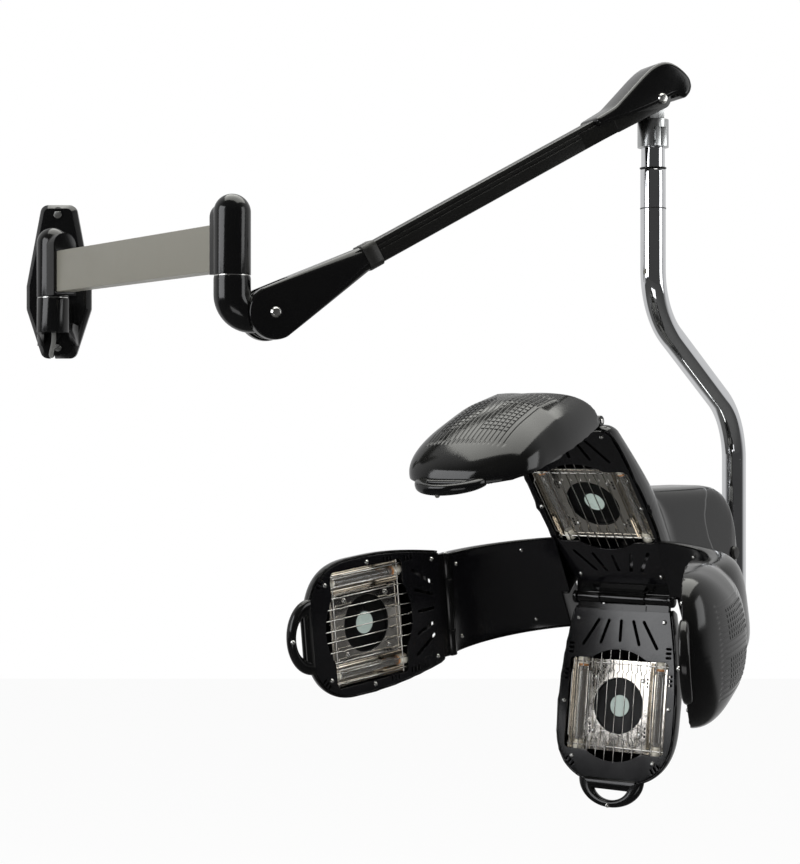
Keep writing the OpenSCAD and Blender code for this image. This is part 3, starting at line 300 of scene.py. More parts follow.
def raised(tree, shader, height, strength, distance):
    node = tree.nodes.new("ShaderNodeBump")
    node.inputs["Strength"].default_value = strength
    node.inputs["Distance"].default_value = distance
    tree.links.new(height, node.inputs["Height"])
    tree.links.new(node.outputs[0], shader.inputs["Normal"])


def moulded_finish(name, colour, dust_and_sheen, rough, dust_and_sheen_amount=0.3, ior=1.42, grain=0.04, grain_scale=900.0):
    """Moulded plastic, paint or rubber with smears, a fine skin, and a film on upward faces that is partly a
    little dust and partly painted sheen
    """
    material, tree, shader = finish_tree(name)
    marks = grouped(tree, GROUPS["handled"], Smear_Scale=14.0, Grain_Scale=grain_scale, Dust=dust_and_sheen_amount)
    tree.links.new(blended(tree, marks.outputs["Dust"], colour, dust_and_sheen), shader.inputs["Base Color"])
    tree.links.new(ranged(tree, marks.outputs["Smear"], rough[0], rough[1]), shader.inputs["Roughness"])
    shader.inputs["IOR"].default_value = ior
    raised(tree, shader, marks.outputs["Grain"], grain, 0.0006)
    return material


def metal_finish(name, dark, light, rough, across=(60.0, 60.0, 3.0), relief=0.05):
    """Bare or plated metal with drawn lines and cloudy wear"""
    material, tree, shader = finish_tree(name)
    lines = grouped(tree, GROUPS["drawn"], Across_X=across[0], Across_Y=across[1], Across_Z=across[2])
    blotch = ranged(tree, lines.outputs["Blotch"], 0.0, 1.0)
    tree.links.new(blended(tree, blotch, dark, light), shader.inputs["Base Color"])
    tree.links.new(ranged(tree, lines.outputs["Lines"], rough[0], rough[1]), shader.inputs["Roughness"])
    shader.inputs["Metallic"].default_value = 1.0
    raised(tree, shader, lines.outputs["Lines"], relief, 0.0004)
    return material


def glass_finish(name):
    """Clear quartz of the lamp tubes"""
    material, tree, shader = finish_tree(name)
    lines = grouped(tree, GROUPS["drawn"], Across_X=30.0, Across_Y=30.0, Across_Z=30.0)
    tree.links.new(ranged(tree, lines.outputs["Lines"], 0.02, 0.14), shader.inputs["Roughness"])
    shader.inputs["Base Color"].default_value = (0.97, 0.97, 0.95, 1.0)
    shader.inputs["Transmission Weight"].default_value = 0.9
    shader.inputs["IOR"].default_value = 1.46
    return material


GROUPS = {}
FINISH = {}


def make_finishes(colours):
    GROUPS.update(handled=handled_group(), drawn=drawn_group())
    # Film colour of upward faces: partly dust, partly painted sheen of the overhead light
    dust_and_sheen = (0.06, 0.06, 0.05)
    shell, panel = tuple(colours.shell), tuple(colours.panel)
    chrome = tuple(colours.chrome)
    FINISH.update(
        gloss_black=moulded_finish("Gloss Black Moulding", shell, dust_and_sheen, (0.09, 0.17), 0.18),
        cast_black=moulded_finish(
            "Black Enamelled Casting", shell, dust_and_sheen, (0.1, 0.19), 0.16, 1.45, 0.06, 700.0
        ),
        coated_black=moulded_finish(
            "Black Coated Tube", (0.007, 0.007, 0.0065), dust_and_sheen, (0.15, 0.24), 0.25, 1.5
        ),
        matte_black=moulded_finish(
            "Matt Black Plastic", (0.013, 0.0128, 0.0115), dust_and_sheen, (0.36, 0.5), 0.3, 1.45, 0.25, 1600.0
        ),
        panel_black=moulded_finish("Satin Panel", panel, dust_and_sheen, (0.13, 0.21), 0.15, 1.5, 0.05, 1800.0),
        fan_black=moulded_finish(
            "Black Fan Plastic", (0.006, 0.006, 0.0062), dust_and_sheen, (0.26, 0.38), 0.2, 1.45, 0.1
        ),
        # Painted shade: a matt near-black that stands for the dark inside the vent slots, the screws' cross
        # recesses and the seam gap
        vent_dark=moulded_finish(
            "Painted Recess Shade", (0.004, 0.004, 0.004), (0.02, 0.02, 0.018), (0.6, 0.8), 0.1, 1.3
        ),
        ceramic=moulded_finish(
            "Lamp End Ceramic", (0.72, 0.69, 0.6), (0.5, 0.38, 0.24), (0.4, 0.6), 1.2, 1.5, 0.2
        ),
        clay=moulded_finish(
            "Orange Lamp Seal", (0.5, 0.22, 0.08), (0.6, 0.4, 0.25), (0.45, 0.6), 1.2, 1.5, 0.2
        ),
        label=moulded_finish(
            "Plain Fan Disc", tuple(colours.label), (0.6, 0.65, 0.6), (0.22, 0.34), 0.6, 1.5, 0.05
        ),
        ivory=moulded_finish("Ivory Terminal Plastic", (0.7, 0.68, 0.6), dust_and_sheen, (0.35, 0.5), 0.3, 1.5),
        cable=moulded_finish("Grey Cable Sheath", (0.12, 0.12, 0.115), dust_and_sheen, (0.4, 0.52), 0.3, 1.5, 0.2),
        red_key=moulded_finish("Red Key", (0.42, 0.03, 0.025), dust_and_sheen, (0.3, 0.42), 0.2, 1.5),
        grey_key=moulded_finish("Grey Key", (0.24, 0.24, 0.24), dust_and_sheen, (0.32, 0.45), 0.2, 1.5),
        chrome=metal_finish(
            "Polished Chrome", tuple(c * 0.93 for c in chrome), chrome, (0.02, 0.075), (60.0, 60.0, 2.0), 0.03
        ),
        plated=metal_finish(
            "Satin Plated Steel", (0.52, 0.53, 0.53), (0.68, 0.69, 0.69), (0.22, 0.36), (50.0, 50.0, 4.0),
            0.08
        ),
        bright=metal_finish(
            "Bright Zinc", (0.7, 0.7, 0.68), (0.84, 0.83, 0.8), (0.12, 0.28), (40.0, 40.0, 40.0), 0.06
        ),
        bar_grey=moulded_finish(
            "Grey Enamelled Bar", tuple(colours.bar), (0.3, 0.3, 0.27), (0.3, 0.42), 0.15, 1.5, 0.06, 700.0
        ),
        mirror=metal_finish(
            "Polished Reflector", (0.7, 0.66, 0.6), (0.86, 0.83, 0.78), (0.06, 0.16), (9.0, 9.0, 9.0), 0.1
        ),
        wire=metal_finish(
            "Plated Guard Wire", (0.62, 0.6, 0.56), (0.82, 0.81, 0.78), (0.1, 0.24), (30.0, 30.0, 30.0), 0.05
        ),
        quartz=glass_finish("Quartz Tube"),
        filament=metal_finish(
            "Heater Coil", (0.12, 0.08, 0.05), (0.24, 0.17, 0.1), (0.4, 0.6), (40.0, 40.0, 40.0), 0.1
        ),
    )


# Form building
def circle(radius, count):
    turns = np.linspace(0, 2 * math.pi, count, endpoint=False)
    return [(radius * math.cos(a), radius * math.sin(a)) for a in turns]


def box_line(x, y, w, h):
    """Rectangle about a middle, from its half width and half height"""
    return [(x - w, y - h), (x + w, y - h), (x + w, y + h), (x - w, y + h)]


def wound(line, outer):
    """The line as an array, counter-clockwise for an outer edge and clockwise for a hole"""
    loop = np.array(line, float)
    step = np.linalg.norm(loop - np.roll(loop, 1, axis=0), axis=1)
    loop = loop[step > 1e-4]
    x, y = loop[:, 0], loop[:, 1]
    area = np.sum(x * np.roll(y, -1) - np.roll(x, -1) * y)
    return loop if (area > 0) == outer else loop[::-1].copy()


def loop_normals(loop):
    """For each corner of a wound loop, the way into the material that keeps both sides parallel"""
    ahead = np.roll(loop, -1, axis=0) - loop
    ahead /= np.linalg.norm(ahead, axis=1)[:, None]
    left = np.column_stack([-ahead[:, 1], ahead[:, 0]])
    before = np.roll(left, 1, axis=0)
    middle = left + before
    middle /= np.maximum(np.linalg.norm(middle, axis=1), 0.5)[:, None]
    return middle / np.maximum((middle * left).sum(1), 0.6)[:, None]


def filled(loops):
    """Points and triangles of the area inside the first loop and outside the rest"""
    points = np.concatenate(loops)
    edges, start = [], 0
    for loop in loops:
        n = len(loop)
        edges += [(start + k, start + (k + 1) % n) for k in range(n)]
        start += n
    found, _, faces, *_ = delaunay_2d_cdt([Vector(p) for p in points], edges, [], 0, 1e-6)
    found = np.array([tuple(p) for p in found])
    kept = []
    for face in faces:
        x, y = found[list(face)].mean(axis=0)
        inside = 0
        for loop in loops:
            ahead = np.roll(loop, -1, axis=0)
            crosses = (loop[:, 1] > y) != (ahead[:, 1] > y)
            rise = np.where(crosses, ahead[:, 1] - loop[:, 1], 1.0)
            meets = loop[:, 0] + (y - loop[:, 1]) * (ahead[:, 0] - loop[:, 0]) / rise
            inside += int((crosses & (x < meets)).sum())
        if inside % 2:
            kept.append(tuple(face))
    return found, kept


class Form:
    """Points in millimetres of one piece, with a finish for each face"""

    def __init__(self):
        self.points, self.faces, self.finishes, self.count = [], [], [], 0

    def add(self, points, faces, finish, at=None):
        points = np.asarray(points, float).reshape(-1, 3)
        if at is not None:
            points = points @ at[:3, :3].T + at[:3, 3]
        self.points.append(points)
        self.faces += [[i + self.count for i in face] for face in faces]
        self.finishes += [finish] * len(faces)
        self.count += len(points)
        return self

    def skin(self, rings, finish, at=None, closed=True, caps=(True, True), looped=False):
        """A skin over rings that have equally many points"""
        rings = np.asarray(rings, float)
        n, m = rings.shape[:2]
        faces = []
        for i in range(n if looped else n - 1):
            k = (i + 1) % n
            for j in range(m if closed else m - 1):
                q = (j + 1) % m
                faces.append((i * m + j, i * m + q, k * m + q, k * m + j))
        if caps[0] and not looped:
            faces.append(tuple(range(m - 1, -1, -1)))
        if caps[1] and not looped:
            faces.append(tuple((n - 1) * m + j for j in range(m)))
        return self.add(rings, faces, finish, at)

    def lathe(self, profile, finish, at=None, sides=48):
        """A turned form about Z, from (radius, height) pairs"""
        rings = [[(x, y, h) for x, y in circle(r, sides)] for r, h in profile]
        return self.skin(rings, finish, at, caps=(profile[0][0] > 0, profile[-1][0] > 0))

    def block(self, low, high, finish, at=None):
        x0, y0, z0 = low
        x1, y1, z1 = high
        rings = [[(x0, y0, z), (x1, y0, z), (x1, y1, z), (x0, y1, z)] for z in (z0, z1)]
        return self.skin(rings, finish, at)

    def plate(self, outlines, low, high, finish, at=None, soften=0.0, steps=2):
        """A flat plate with holes, lying in XY, with softened edges"""
        loops = [wound(line, k == 0) for k, line in enumerate(outlines)]
        arc = [math.radians(90 * k / steps) for k in range(steps + 1)] if soften else [0.0]
        levels = [(soften * (1 - math.sin(a)), low + soften * (1 - math.cos(a))) for a in arc]
        levels += [(soften * (1 - math.cos(a)), high - soften * (1 - math.sin(a))) for a in arc]
        for loop in loops:
            inward = loop_normals(loop)
            rings = []
            for inset, z in levels:
                flat = loop + inward * inset
                rings.append(np.column_stack([flat, np.full(len(flat), z)]))
            self.skin(rings, finish, at, caps=(False, False))
        edge = [loop + loop_normals(loop) * soften for loop in loops]
        points, triangles = filled(edge)
        for z, turn in ((low, -1), (high, 1)):
            flat = np.column_stack([points, np.full(len(points), z)])
            self.add(flat, [t[::turn] for t in triangles], finish, at)
        return self

    def sweep(self, path, radius, finish, at=None, sides=16, caps=(True, True)):
        """A round bar along a path; radius is a number, or one for each point"""
        path = np.asarray(path, float)
        radii = np.broadcast_to(radius, len(path))
        forward = np.gradient(path, axis=0)
        forward /= np.linalg.norm(forward, axis=1)[:, None]
        side = np.cross(forward[0], (0.31, 0.17, 0.93))
        turns = np.linspace(0, 2 * math.pi, sides, endpoint=False)
        rings = []
        for point, ahead, r in zip(path, forward, radii):
            side = side - ahead * side.dot(ahead)
            side /= np.linalg.norm(side)
            up = np.cross(ahead, side)
            rings.append([point + r * (side * math.cos(a) + up * math.sin(a)) for a in turns])
        return self.skin(rings, finish, at, caps=caps)


def edge_profile(radius, low, high, soften, steps=4, inner=0.0):
    """Half section of a turned bar with softened rims"""
    arc = [math.radians(90 * k / steps) for k in range(steps + 1)]
    rise = [(radius - soften + soften * math.sin(a), low + soften - soften * math.cos(a)) for a in arc]
    fall = [(radius - soften + soften * math.cos(a), high - soften + soften * math.sin(a)) for a in arc]
    return [(inner, low)] + rise + fall + [(inner, high)]


def superellipse(half_w, half_h, power, count=48):
    angles = np.linspace(0, 2 * math.pi, count, endpoint=False)
    c, s = np.cos(angles), np.sin(angles)
    x = half_w * np.sign(c) * np.abs(c) ** (2 / power)
    y = half_h * np.sign(s) * np.abs(s) ** (2 / power)
    return np.stack([x, y], 1)


ALONG_X = turned("Y", 90)
ALONG_Y = turned("X", -90)


def raw_object(name, form, at):
    """A clean mesh object of a form, in metres in the shared frame, with its place in its mesh"""
    points = np.concatenate(form.points)
    points = (points @ at[:3, :3].T + at[:3, 3]) * MM
    mesh = bpy.data.meshes.new(name)
    mesh.from_pydata(points.tolist(), [], form.faces)
    order = list(dict.fromkeys(form.finishes))
    for finish in order:
        mesh.materials.append(FINISH[finish])
    mesh.polygons.foreach_set("material_index", [order.index(f) for f in form.finishes])
    holder = bpy.data.objects.new(name, mesh)
    bpy.context.scene.collection.objects.link(holder)
    return holder


def cleaned(mesh, upward=None, gap=1e-6):
    """Doubles merged and faces turned outwards; an open sheet is turned to face along upward"""
    work = bmesh.new()
    work.from_mesh(mesh)
    bmesh.ops.remove_doubles(work, verts=work.verts, dist=gap)
    bmesh.ops.dissolve_degenerate(work, edges=work.edges, dist=gap)
    bmesh.ops.recalc_face_normals(work, faces=work.faces)
    if upward is not None:
        total = sum((f.normal * f.calc_area() for f in work.faces), Vector())
        if total.dot(Vector(upward)) < 0:
            bmesh.ops.reverse_faces(work, faces=work.faces)
    work.to_mesh(mesh)
    work.free()


def finish_piece(piece, body, slot, nodes=(), wall=0.0, soften=0.0, steps=2, crisp=32.0, level=False):
    """Gives a piece its wall, softened edges and shading, and hands it to its body"""
    piece.data.shade_smooth()
    if wall:
        hollow = piece.modifiers.new("Wall", "SOLIDIFY")
        hollow.thickness, hollow.offset, hollow.use_even_offset = wall * MM, -1.0, False
    if soften:
        bevel = piece.modifiers.new("Soft Edges", "BEVEL")
        bevel.width, bevel.segments, bevel.limit_method = soften * MM, steps, "ANGLE"
        bevel.angle_limit, bevel.harden_normals = math.radians(crisp), True
        bevel.use_clamp_overlap = True
    else:
        piece.data.set_sharp_from_angle(angle=math.radians(crisp))
    if level:
        weigh = piece.modifiers.new("Level Faces", "WEIGHTED_NORMAL")
        weigh.keep_sharp, weigh.weight = True, 100
    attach(piece, body)
    if nodes:
        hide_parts(*nodes)
    return piece


def build(name, form, at, body, slot, nodes=(), upward=None, gap=1e-6, **finishing):
    piece = raw_object(name, form, at)
    cleaned(piece.data, upward, gap)
    return finish_piece(piece, body, slot, nodes, **finishing)


def softened_node(node, finish, soften=1.0, steps=3, crisp=35.0):
    """A merged copy of a construction piece with softened edges, which stands for it"""
    source = NODES[node]
    mesh = source.data.copy()
    mesh.name = node + "_soft"
    mesh.materials.clear()
    mesh.materials.append(FINISH[finish])
    work = bmesh.new()
    work.from_mesh(mesh)
    bmesh.ops.remove_doubles(work, verts=work.verts, dist=2e-6)
    bmesh.ops.dissolve_limit(work, angle_limit=math.radians(0.6), verts=work.verts, edges=work.edges)
    for face in work.faces:
        face.material_index = 0
    work.to_mesh(mesh)
    work.free()
    piece = bpy.data.objects.new(node + "_soft", mesh)
    bpy.context.scene.collection.objects.link(piece)
    body = source["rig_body"]
    slots = {s["node"]: s["material_slot"] for s in frame["record"]["subparts"]}
    return finish_piece(piece, body, slots[node], (node,), soften=soften, steps=steps, crisp=crisp)


# Geometry Nodes trees for what repeats
def geometry_tree(name, inputs):
    tree = bpy.data.node_groups.new(name, "GeometryNodeTree")
    tree.interface.new_socket(name="Geometry", in_out="INPUT", socket_type="NodeSocketGeometry")
    for label, kind in inputs:
        tree.interface.new_socket(name=label, in_out="INPUT", socket_type="NodeSocket" + kind)
    tree.interface.new_socket(name="Geometry", in_out="OUTPUT", socket_type="NodeSocketGeometry")
    return tree, tree.nodes.new("NodeGroupInput"), tree.nodes.new("NodeGroupOutput")


def end_tree(tree, given, out, geometry):
    """Every tree ends in real geometry with its finish set"""
    real = tree.nodes.new("GeometryNodeRealizeInstances")
    dress = tree.nodes.new("GeometryNodeSetMaterial")
    tree.links.new(geometry, real.inputs[0])
    tree.links.new(real.outputs[0], dress.inputs["Geometry"])
    tree.links.new(given.outputs["Finish"], dress.inputs["Material"])
    tree.links.new(dress.outputs[0], out.inputs[0])
    return tree


def seated_tree():
    """Puts a small form on every point of a mesh, standing along its facing and turned along its run"""
    tree, given, out = geometry_tree(
        "Seated Details", (("Detail", "Object"), ("Size", "Float"), ("Finish", "Material"))
    )
    detail = tree.nodes.new("GeometryNodeObjectInfo")
    put = tree.nodes.new("GeometryNodeInstanceOnPoints")
    tree.links.new(given.outputs["Geometry"], put.inputs["Points"])
    tree.links.new(given.outputs["Detail"], detail.inputs["Object"])
    tree.links.new(detail.outputs["Geometry"], put.inputs["Instance"])
    tree.links.new(given.outputs["Size"], put.inputs["Scale"])
    axes = tree.nodes.new("FunctionNodeAxesToRotation")
    axes.primary_axis, axes.secondary_axis = "Z", "Y"
    for socket, label in ((axes.inputs[0], "facing"), (axes.inputs[1], "run")):
        read = tree.nodes.new("GeometryNodeInputNamedAttribute")
        read.data_type = "FLOAT_VECTOR"
        read.inputs["Name"].default_value = label
        tree.links.new(read.outputs[0], socket)
    tree.links.new(axes.outputs[0], put.inputs["Rotation"])
    return end_tree(tree, given, out, put.outputs[0])


def wire_tree():
    """Turns the edges of a mesh into round wire"""
    tree, given, out = geometry_tree(
        "Round Wire", (("Radius", "Float"), ("Sides", "Int"), ("Finish", "Material"))
    )
    line = tree.nodes.new("GeometryNodeMeshToCurve")
    ring = tree.nodes.new("GeometryNodeCurvePrimitiveCircle")
    wire = tree.nodes.new("GeometryNodeCurveToMesh")
    wire.inputs["Fill Caps"].default_value = True
    tree.links.new(given.outputs["Geometry"], line.inputs[0])
    tree.links.new(given.outputs["Radius"], ring.inputs["Radius"])
    tree.links.new(given.outputs["Sides"], ring.inputs["Resolution"])
    tree.links.new(line.outputs[0], wire.inputs["Curve"])
    tree.links.new(ring.outputs[0], wire.inputs["Profile Curve"])
    return end_tree(tree, given, out, wire.outputs[0])


def spun_tree():
    """Repeats a form evenly round the Z axis"""
    tree, given, out = geometry_tree("Spun Row", (("Count", "Int"), ("Finish", "Material")))
    row = tree.nodes.new("GeometryNodeMeshLine")
    row.inputs["Offset"].default_value = (0, 0, 0)
    put = tree.nodes.new("GeometryNodeInstanceOnPoints")
    index = tree.nodes.new("GeometryNodeInputIndex")
    step = tree.nodes.new("ShaderNodeMath")
    step.operation = "DIVIDE"
    step.inputs[0].default_value = 2 * math.pi
    angle = tree.nodes.new("ShaderNodeMath")
    angle.operation = "MULTIPLY"
    spin = tree.nodes.new("ShaderNodeCombineXYZ")
    tree.links.new(given.outputs["Count"], row.inputs["Count"])
    tree.links.new(given.outputs["Count"], step.inputs[1])
    tree.links.new(index.outputs[0], angle.inputs[0])
    tree.links.new(step.outputs[0], angle.inputs[1])
    tree.links.new(angle.outputs[0], spin.inputs["Z"])
    tree.links.new(row.outputs[0], put.inputs["Points"])
    tree.links.new(given.outputs["Geometry"], put.inputs["Instance"])
    tree.links.new(spin.outputs[0], put.inputs["Rotation"])
    return end_tree(tree, given, out, put.outputs[0])


TREES = {}


def grow(name, seed, tree, at, body, slot, nodes=(), crisp=40.0, **values):
    """Runs a tree on a seed mesh in millimetres and keeps the result as a plain mesh on one body"""
    holder = bpy.data.objects.new(name + "_seed", seed)
    bpy.context.scene.collection.objects.link(holder)
    nodes_modifier = holder.modifiers.new("Grow", "NODES")
    nodes_modifier.node_group = TREES[tree]
    for item in TREES[tree].interface.items_tree:
        if item.item_type == "SOCKET" and item.in_out == "INPUT" and item.name in values:
            nodes_modifier[item.identifier] = values[item.name]
    graph = bpy.context.evaluated_depsgraph_get()
    mesh = bpy.data.meshes.new_from_object(holder.evaluated_get(graph), depsgraph=graph)
    mesh.name = name
    holder.modifiers.remove(nodes_modifier)
    bpy.data.objects.remove(holder)
    mesh.transform(Matrix(scaled_frame(at)))
    piece = bpy.data.objects.new(name, mesh)
    bpy.context.scene.collection.objects.link(piece)
    cleaned(mesh)
    return finish_piece(piece, body, slot, nodes, crisp=crisp)


def scaled_frame(at):
    m = np.array(at)
    m[:3, :] *= MM
    return m.tolist()


def seats(points, facings, runs):
    """A mesh of loose points that carry where each detail faces and how it is turned"""
    mesh = bpy.data.meshes.new("seats")
    mesh.from_pydata([tuple(p) for p in points], [], [])
    for label, vectors in (("facing", facings), ("run", runs)):
        layer = mesh.attributes.new(label, "FLOAT_VECTOR", "POINT")
        layer.data.foreach_set("vector", np.asarray(vectors, float).ravel())
    return mesh


def paths(lines):
    """A mesh of edges only, one chain for each line"""
    points, edges = [], []
    for line in lines:
        edges += [(len(points) + k, len(points) + k + 1) for k in range(len(line) - 1)]
        points += [tuple(p) for p in line]
    mesh = bpy.data.meshes.new("paths")
    mesh.from_pydata(points, edges, [])
    return mesh


DETAILS = {}


def detail_object(name, form):
    """A small form that a tree repeats; it is taken away again at the end"""
    if name not in DETAILS:
        holder = raw_object("detail_" + name, form, np.eye(4))
        holder.data.transform(Matrix.Scale(1 / MM, 4))
        cleaned(holder.data)
        DETAILS[name] = holder
    return DETAILS[name]


def screw_form():
    """Domed screw head with a cross recess, shown as a dark cross of painted shade standing just proud of the
    dome
    """
    form = Form()
    form.lathe(
        [(0, 0.86), (0.3, 0.84), (0.62, 0.7), (0.86, 0.45), (1.0, 0.12), (1.0, -0.3), (0, -0.3)], "bright",
        sides=24
    )
    for spin in (0, 90):
        form.block((-0.52, -0.11, 0.55), (0.52, 0.11, 0.875), "vent_dark", turned("Z", spin))
    return form


# Pod shells
ROUND_FROM, ROUND_POWER, POD_LEN, POD_HW, HINGE_HW, HINGE_EDGE = 165.0, 2.6, 250.0, 91.0, 75.0, 12.0
FLARE_REACH, PANEL_INSET, BARREL_R, BARREL_HW = 130, 3.4, 7.0, 34.5
HUB_HW, HUB_CORNER, HUB_BULGE = 86, 14, 8


def pod_half(y, inset=0.0):
    """Half width of a pod at the distance y from its hinge"""
    if y < ROUND_FROM:
        flare = math.sin(math.radians(90 * min(1, (y - HINGE_EDGE) / FLARE_REACH)))
        return HINGE_HW - inset + (POD_HW - HINGE_HW) * flare
    left = 1 - min(1, (y - ROUND_FROM) / (POD_LEN - inset - ROUND_FROM)) ** ROUND_POWER
    return (POD_HW - inset) * max(0, left) ** (1 / ROUND_POWER)


def pod_outline(inset=0.0, steps=40):
    """Right half of a pod's edge, from the hinge side to the round end"""
    low = [HINGE_EDGE + inset + (ROUND_FROM - HINGE_EDGE - inset) * k / steps for k in range(steps)]
    high = [
        ROUND_FROM + (POD_LEN - inset - ROUND_FROM) * math.sin(math.pi / 2 * k / steps)
        for k in range(steps + 1)
    ]
    return [(0.0, HINGE_EDGE + inset)] + [(pod_half(y, inset), y) for y in low + high]


def hub_outline(inset=0.0, steps=8):
    """Right half of the hub's edge, from the top hinge to the bottom hinge"""
    low, high = -HUB_TOP + HINGE_EDGE + inset, HUB_BOTTOM - HINGE_EDGE - inset
    flat, corner = HUB_HW - inset - HUB_BULGE, HUB_CORNER
    turn = [math.radians(90 * k / steps) for k in range(steps + 1)]
    line = [(0.0, low)]
    line += [(flat - corner + corner * math.sin(a), low + corner * (1 - math.cos(a))) for a in turn]
    for t in [k / 24 for k in range(1, 24)]:
        line.append((flat + HUB_BULGE * math.sin(math.pi * t), low + corner + t * (high - low - 2 * corner)))
    line += [(flat - corner + corner * math.sin(a), high - corner * (1 - math.cos(a))) for a in turn[::-1]]
    return line + [(0.0, high)]


def whole(line):
    return line + [(-x, y) for x, y in line[-2:0:-1]]


EDGE_ROUND, DOME_POWER, THIN_REACH = 0.92, 0.42, 140


class Dome:
    """The domed outside of a shell as a height over its outline"""

    def __init__(self, line, middle, depth, direction, thinning=0.3):
        self.middle, self.depth, self.direction, self.thinning = middle, depth, direction, thinning
        self.half = np.array(line)
        loop = np.array(whole(line))
        angles = np.arctan2(loop[:, 1] - middle, loop[:, 0])
        order = np.argsort(angles)
        self.angles, self.reach = angles[order], np.hypot(loop[:, 0], loop[:, 1] - middle)[order]
        widest = int(np.argmax(self.half[:, 0]))
        self.wide = self.half[widest, 0]
        self.lower, self.upper = self.half[: widest + 1], self.half[widest:][::-1]

    def height(self, x, y):
        angle = np.arctan2(y - self.middle, x)
        reach = np.interp(angle, self.angles, self.reach, period=2 * math.pi)
        share = np.minimum(1, np.hypot(x, y - self.middle) / reach)
        thin = 1 - self.thinning * np.maximum(0, self.direction * (y - self.middle) / THIN_REACH)
        return self.depth * (1 - share ** (2 / EDGE_ROUND)) ** DOME_POWER * thin

    def ends(self, x):
        """Where the outline begins and ends at a distance x from its middle line"""
        low, high = [np.interp(abs(x), half[:, 0], half[:, 1]) for half in (self.lower, self.upper)]
        return low, high

    def grid(self, columns, rows):
        turn = (1 - np.cos(np.linspace(0, math.pi, rows))) / 2
        out = []
        for x in columns:
            low, high = self.ends(x)
            y = low + (high - low) * turn
            out.append(np.stack([np.full(rows, x), y, self.height(np.full(rows, x), y)], 1))
        return np.array(out)

    def normal(self, x, y, step=0.5):
        dx = (self.height(x + step, y) - self.height(x - step, y)) / (2 * step)
        dy = (self.height(x, y + step) - self.height(x, y - step)) / (2 * step)
        n = np.array([-dx, -dy, 1.0])
        return n / np.linalg.norm(n)


GROOVES = 18
GROOVE_ENDS, GROOVE_FADES = (70.0, 206.0), (10, 5)
GROOVE_SECTION = ((-1.35, 0.0), (-0.8, 0.75), (0.0, 1.0), (0.8, 0.75), (1.35, 0.0), (3.2, 0.0))
HANDLE_EDGES, HANDLE_LEVEL, CLOSING_BAR = ((49, 241.5, 38), (27, 250, 19.4)), 3.3, (38, 248.6, 3.0)
POD_MIDDLE, VENT_FROM, VENT_ROWS, VENT_SINK = 112.0, 104, 11, 0.25
STRIPS, STRIP_END, STRIP_TOP = ((-70.0, -35.0), (35.0, 70.0)), 17.0, 5


def groove_lines(pitch):
    return [(k - (GROOVES - 1) / 2) * pitch for k in range(GROOVES)]


def grooved_grid(dome, sizes, rows=96):
    """The dome's surface with lengthwise grooves that fade out at their ends"""
    lines = groove_lines(sizes.groove_pitch)
    edge = lines[-1] + 4
    columns = [x for x in dome.wide * np.sin(np.linspace(-math.pi / 2, math.pi / 2, 73)) if abs(x) > edge]
    cuts = {}
    for line in lines:
        for offset, share in GROOVE_SECTION:
            cuts[round(line + offset, 3)] = share
    columns = sorted(columns + list(cuts))
    points = dome.grid(columns, rows)
    for k, x in enumerate(columns):
        share = cuts.get(round(x, 3), 0.0)
        if share:
            y = points[k, :, 1]
            begin = np.clip((y - GROOVE_ENDS[0]) / GROOVE_FADES[0], 0, 1)
            fade = begin * np.clip((GROOVE_ENDS[1] - y) / GROOVE_FADES[1], 0, 1)
            points[k, :, 2] -= sizes.groove_depth * share * fade ** 0.5
    return points


def handle_parts(form):
    """Loop handle of a pod: a flattened bar bent round an opening, and the bar that closes the opening"""
    rings = []
    for angle in np.linspace(0, math.pi, 49):
        c, s = math.cos(angle), math.sin(angle)
        outer, inner = [np.array([wide * c, start + reach * s]) for wide, start, reach in HANDLE_EDGES]
        middle, across = (outer + inner) / 2, (outer - inner)
        width = np.linalg.norm(across)
        across /= width
        section = superellipse(width / 2, 6.2 + 0.4 * s, 2.7, 24)
        rings.append([(*(middle + across * u), HANDLE_LEVEL + w) for u, w in section])
    form.skin(rings, "gloss_black")
    half, y, z = CLOSING_BAR
    section = superellipse(7.5, 5.4, 3.2, 20)
    rings = [[(x, y + u, z + w) for u, w in section] for x in np.linspace(-half, half, 13)]
    return form.skin(rings, "gloss_black")


def sizes():
    return bpy.context.scene.hood_dryer_sizes


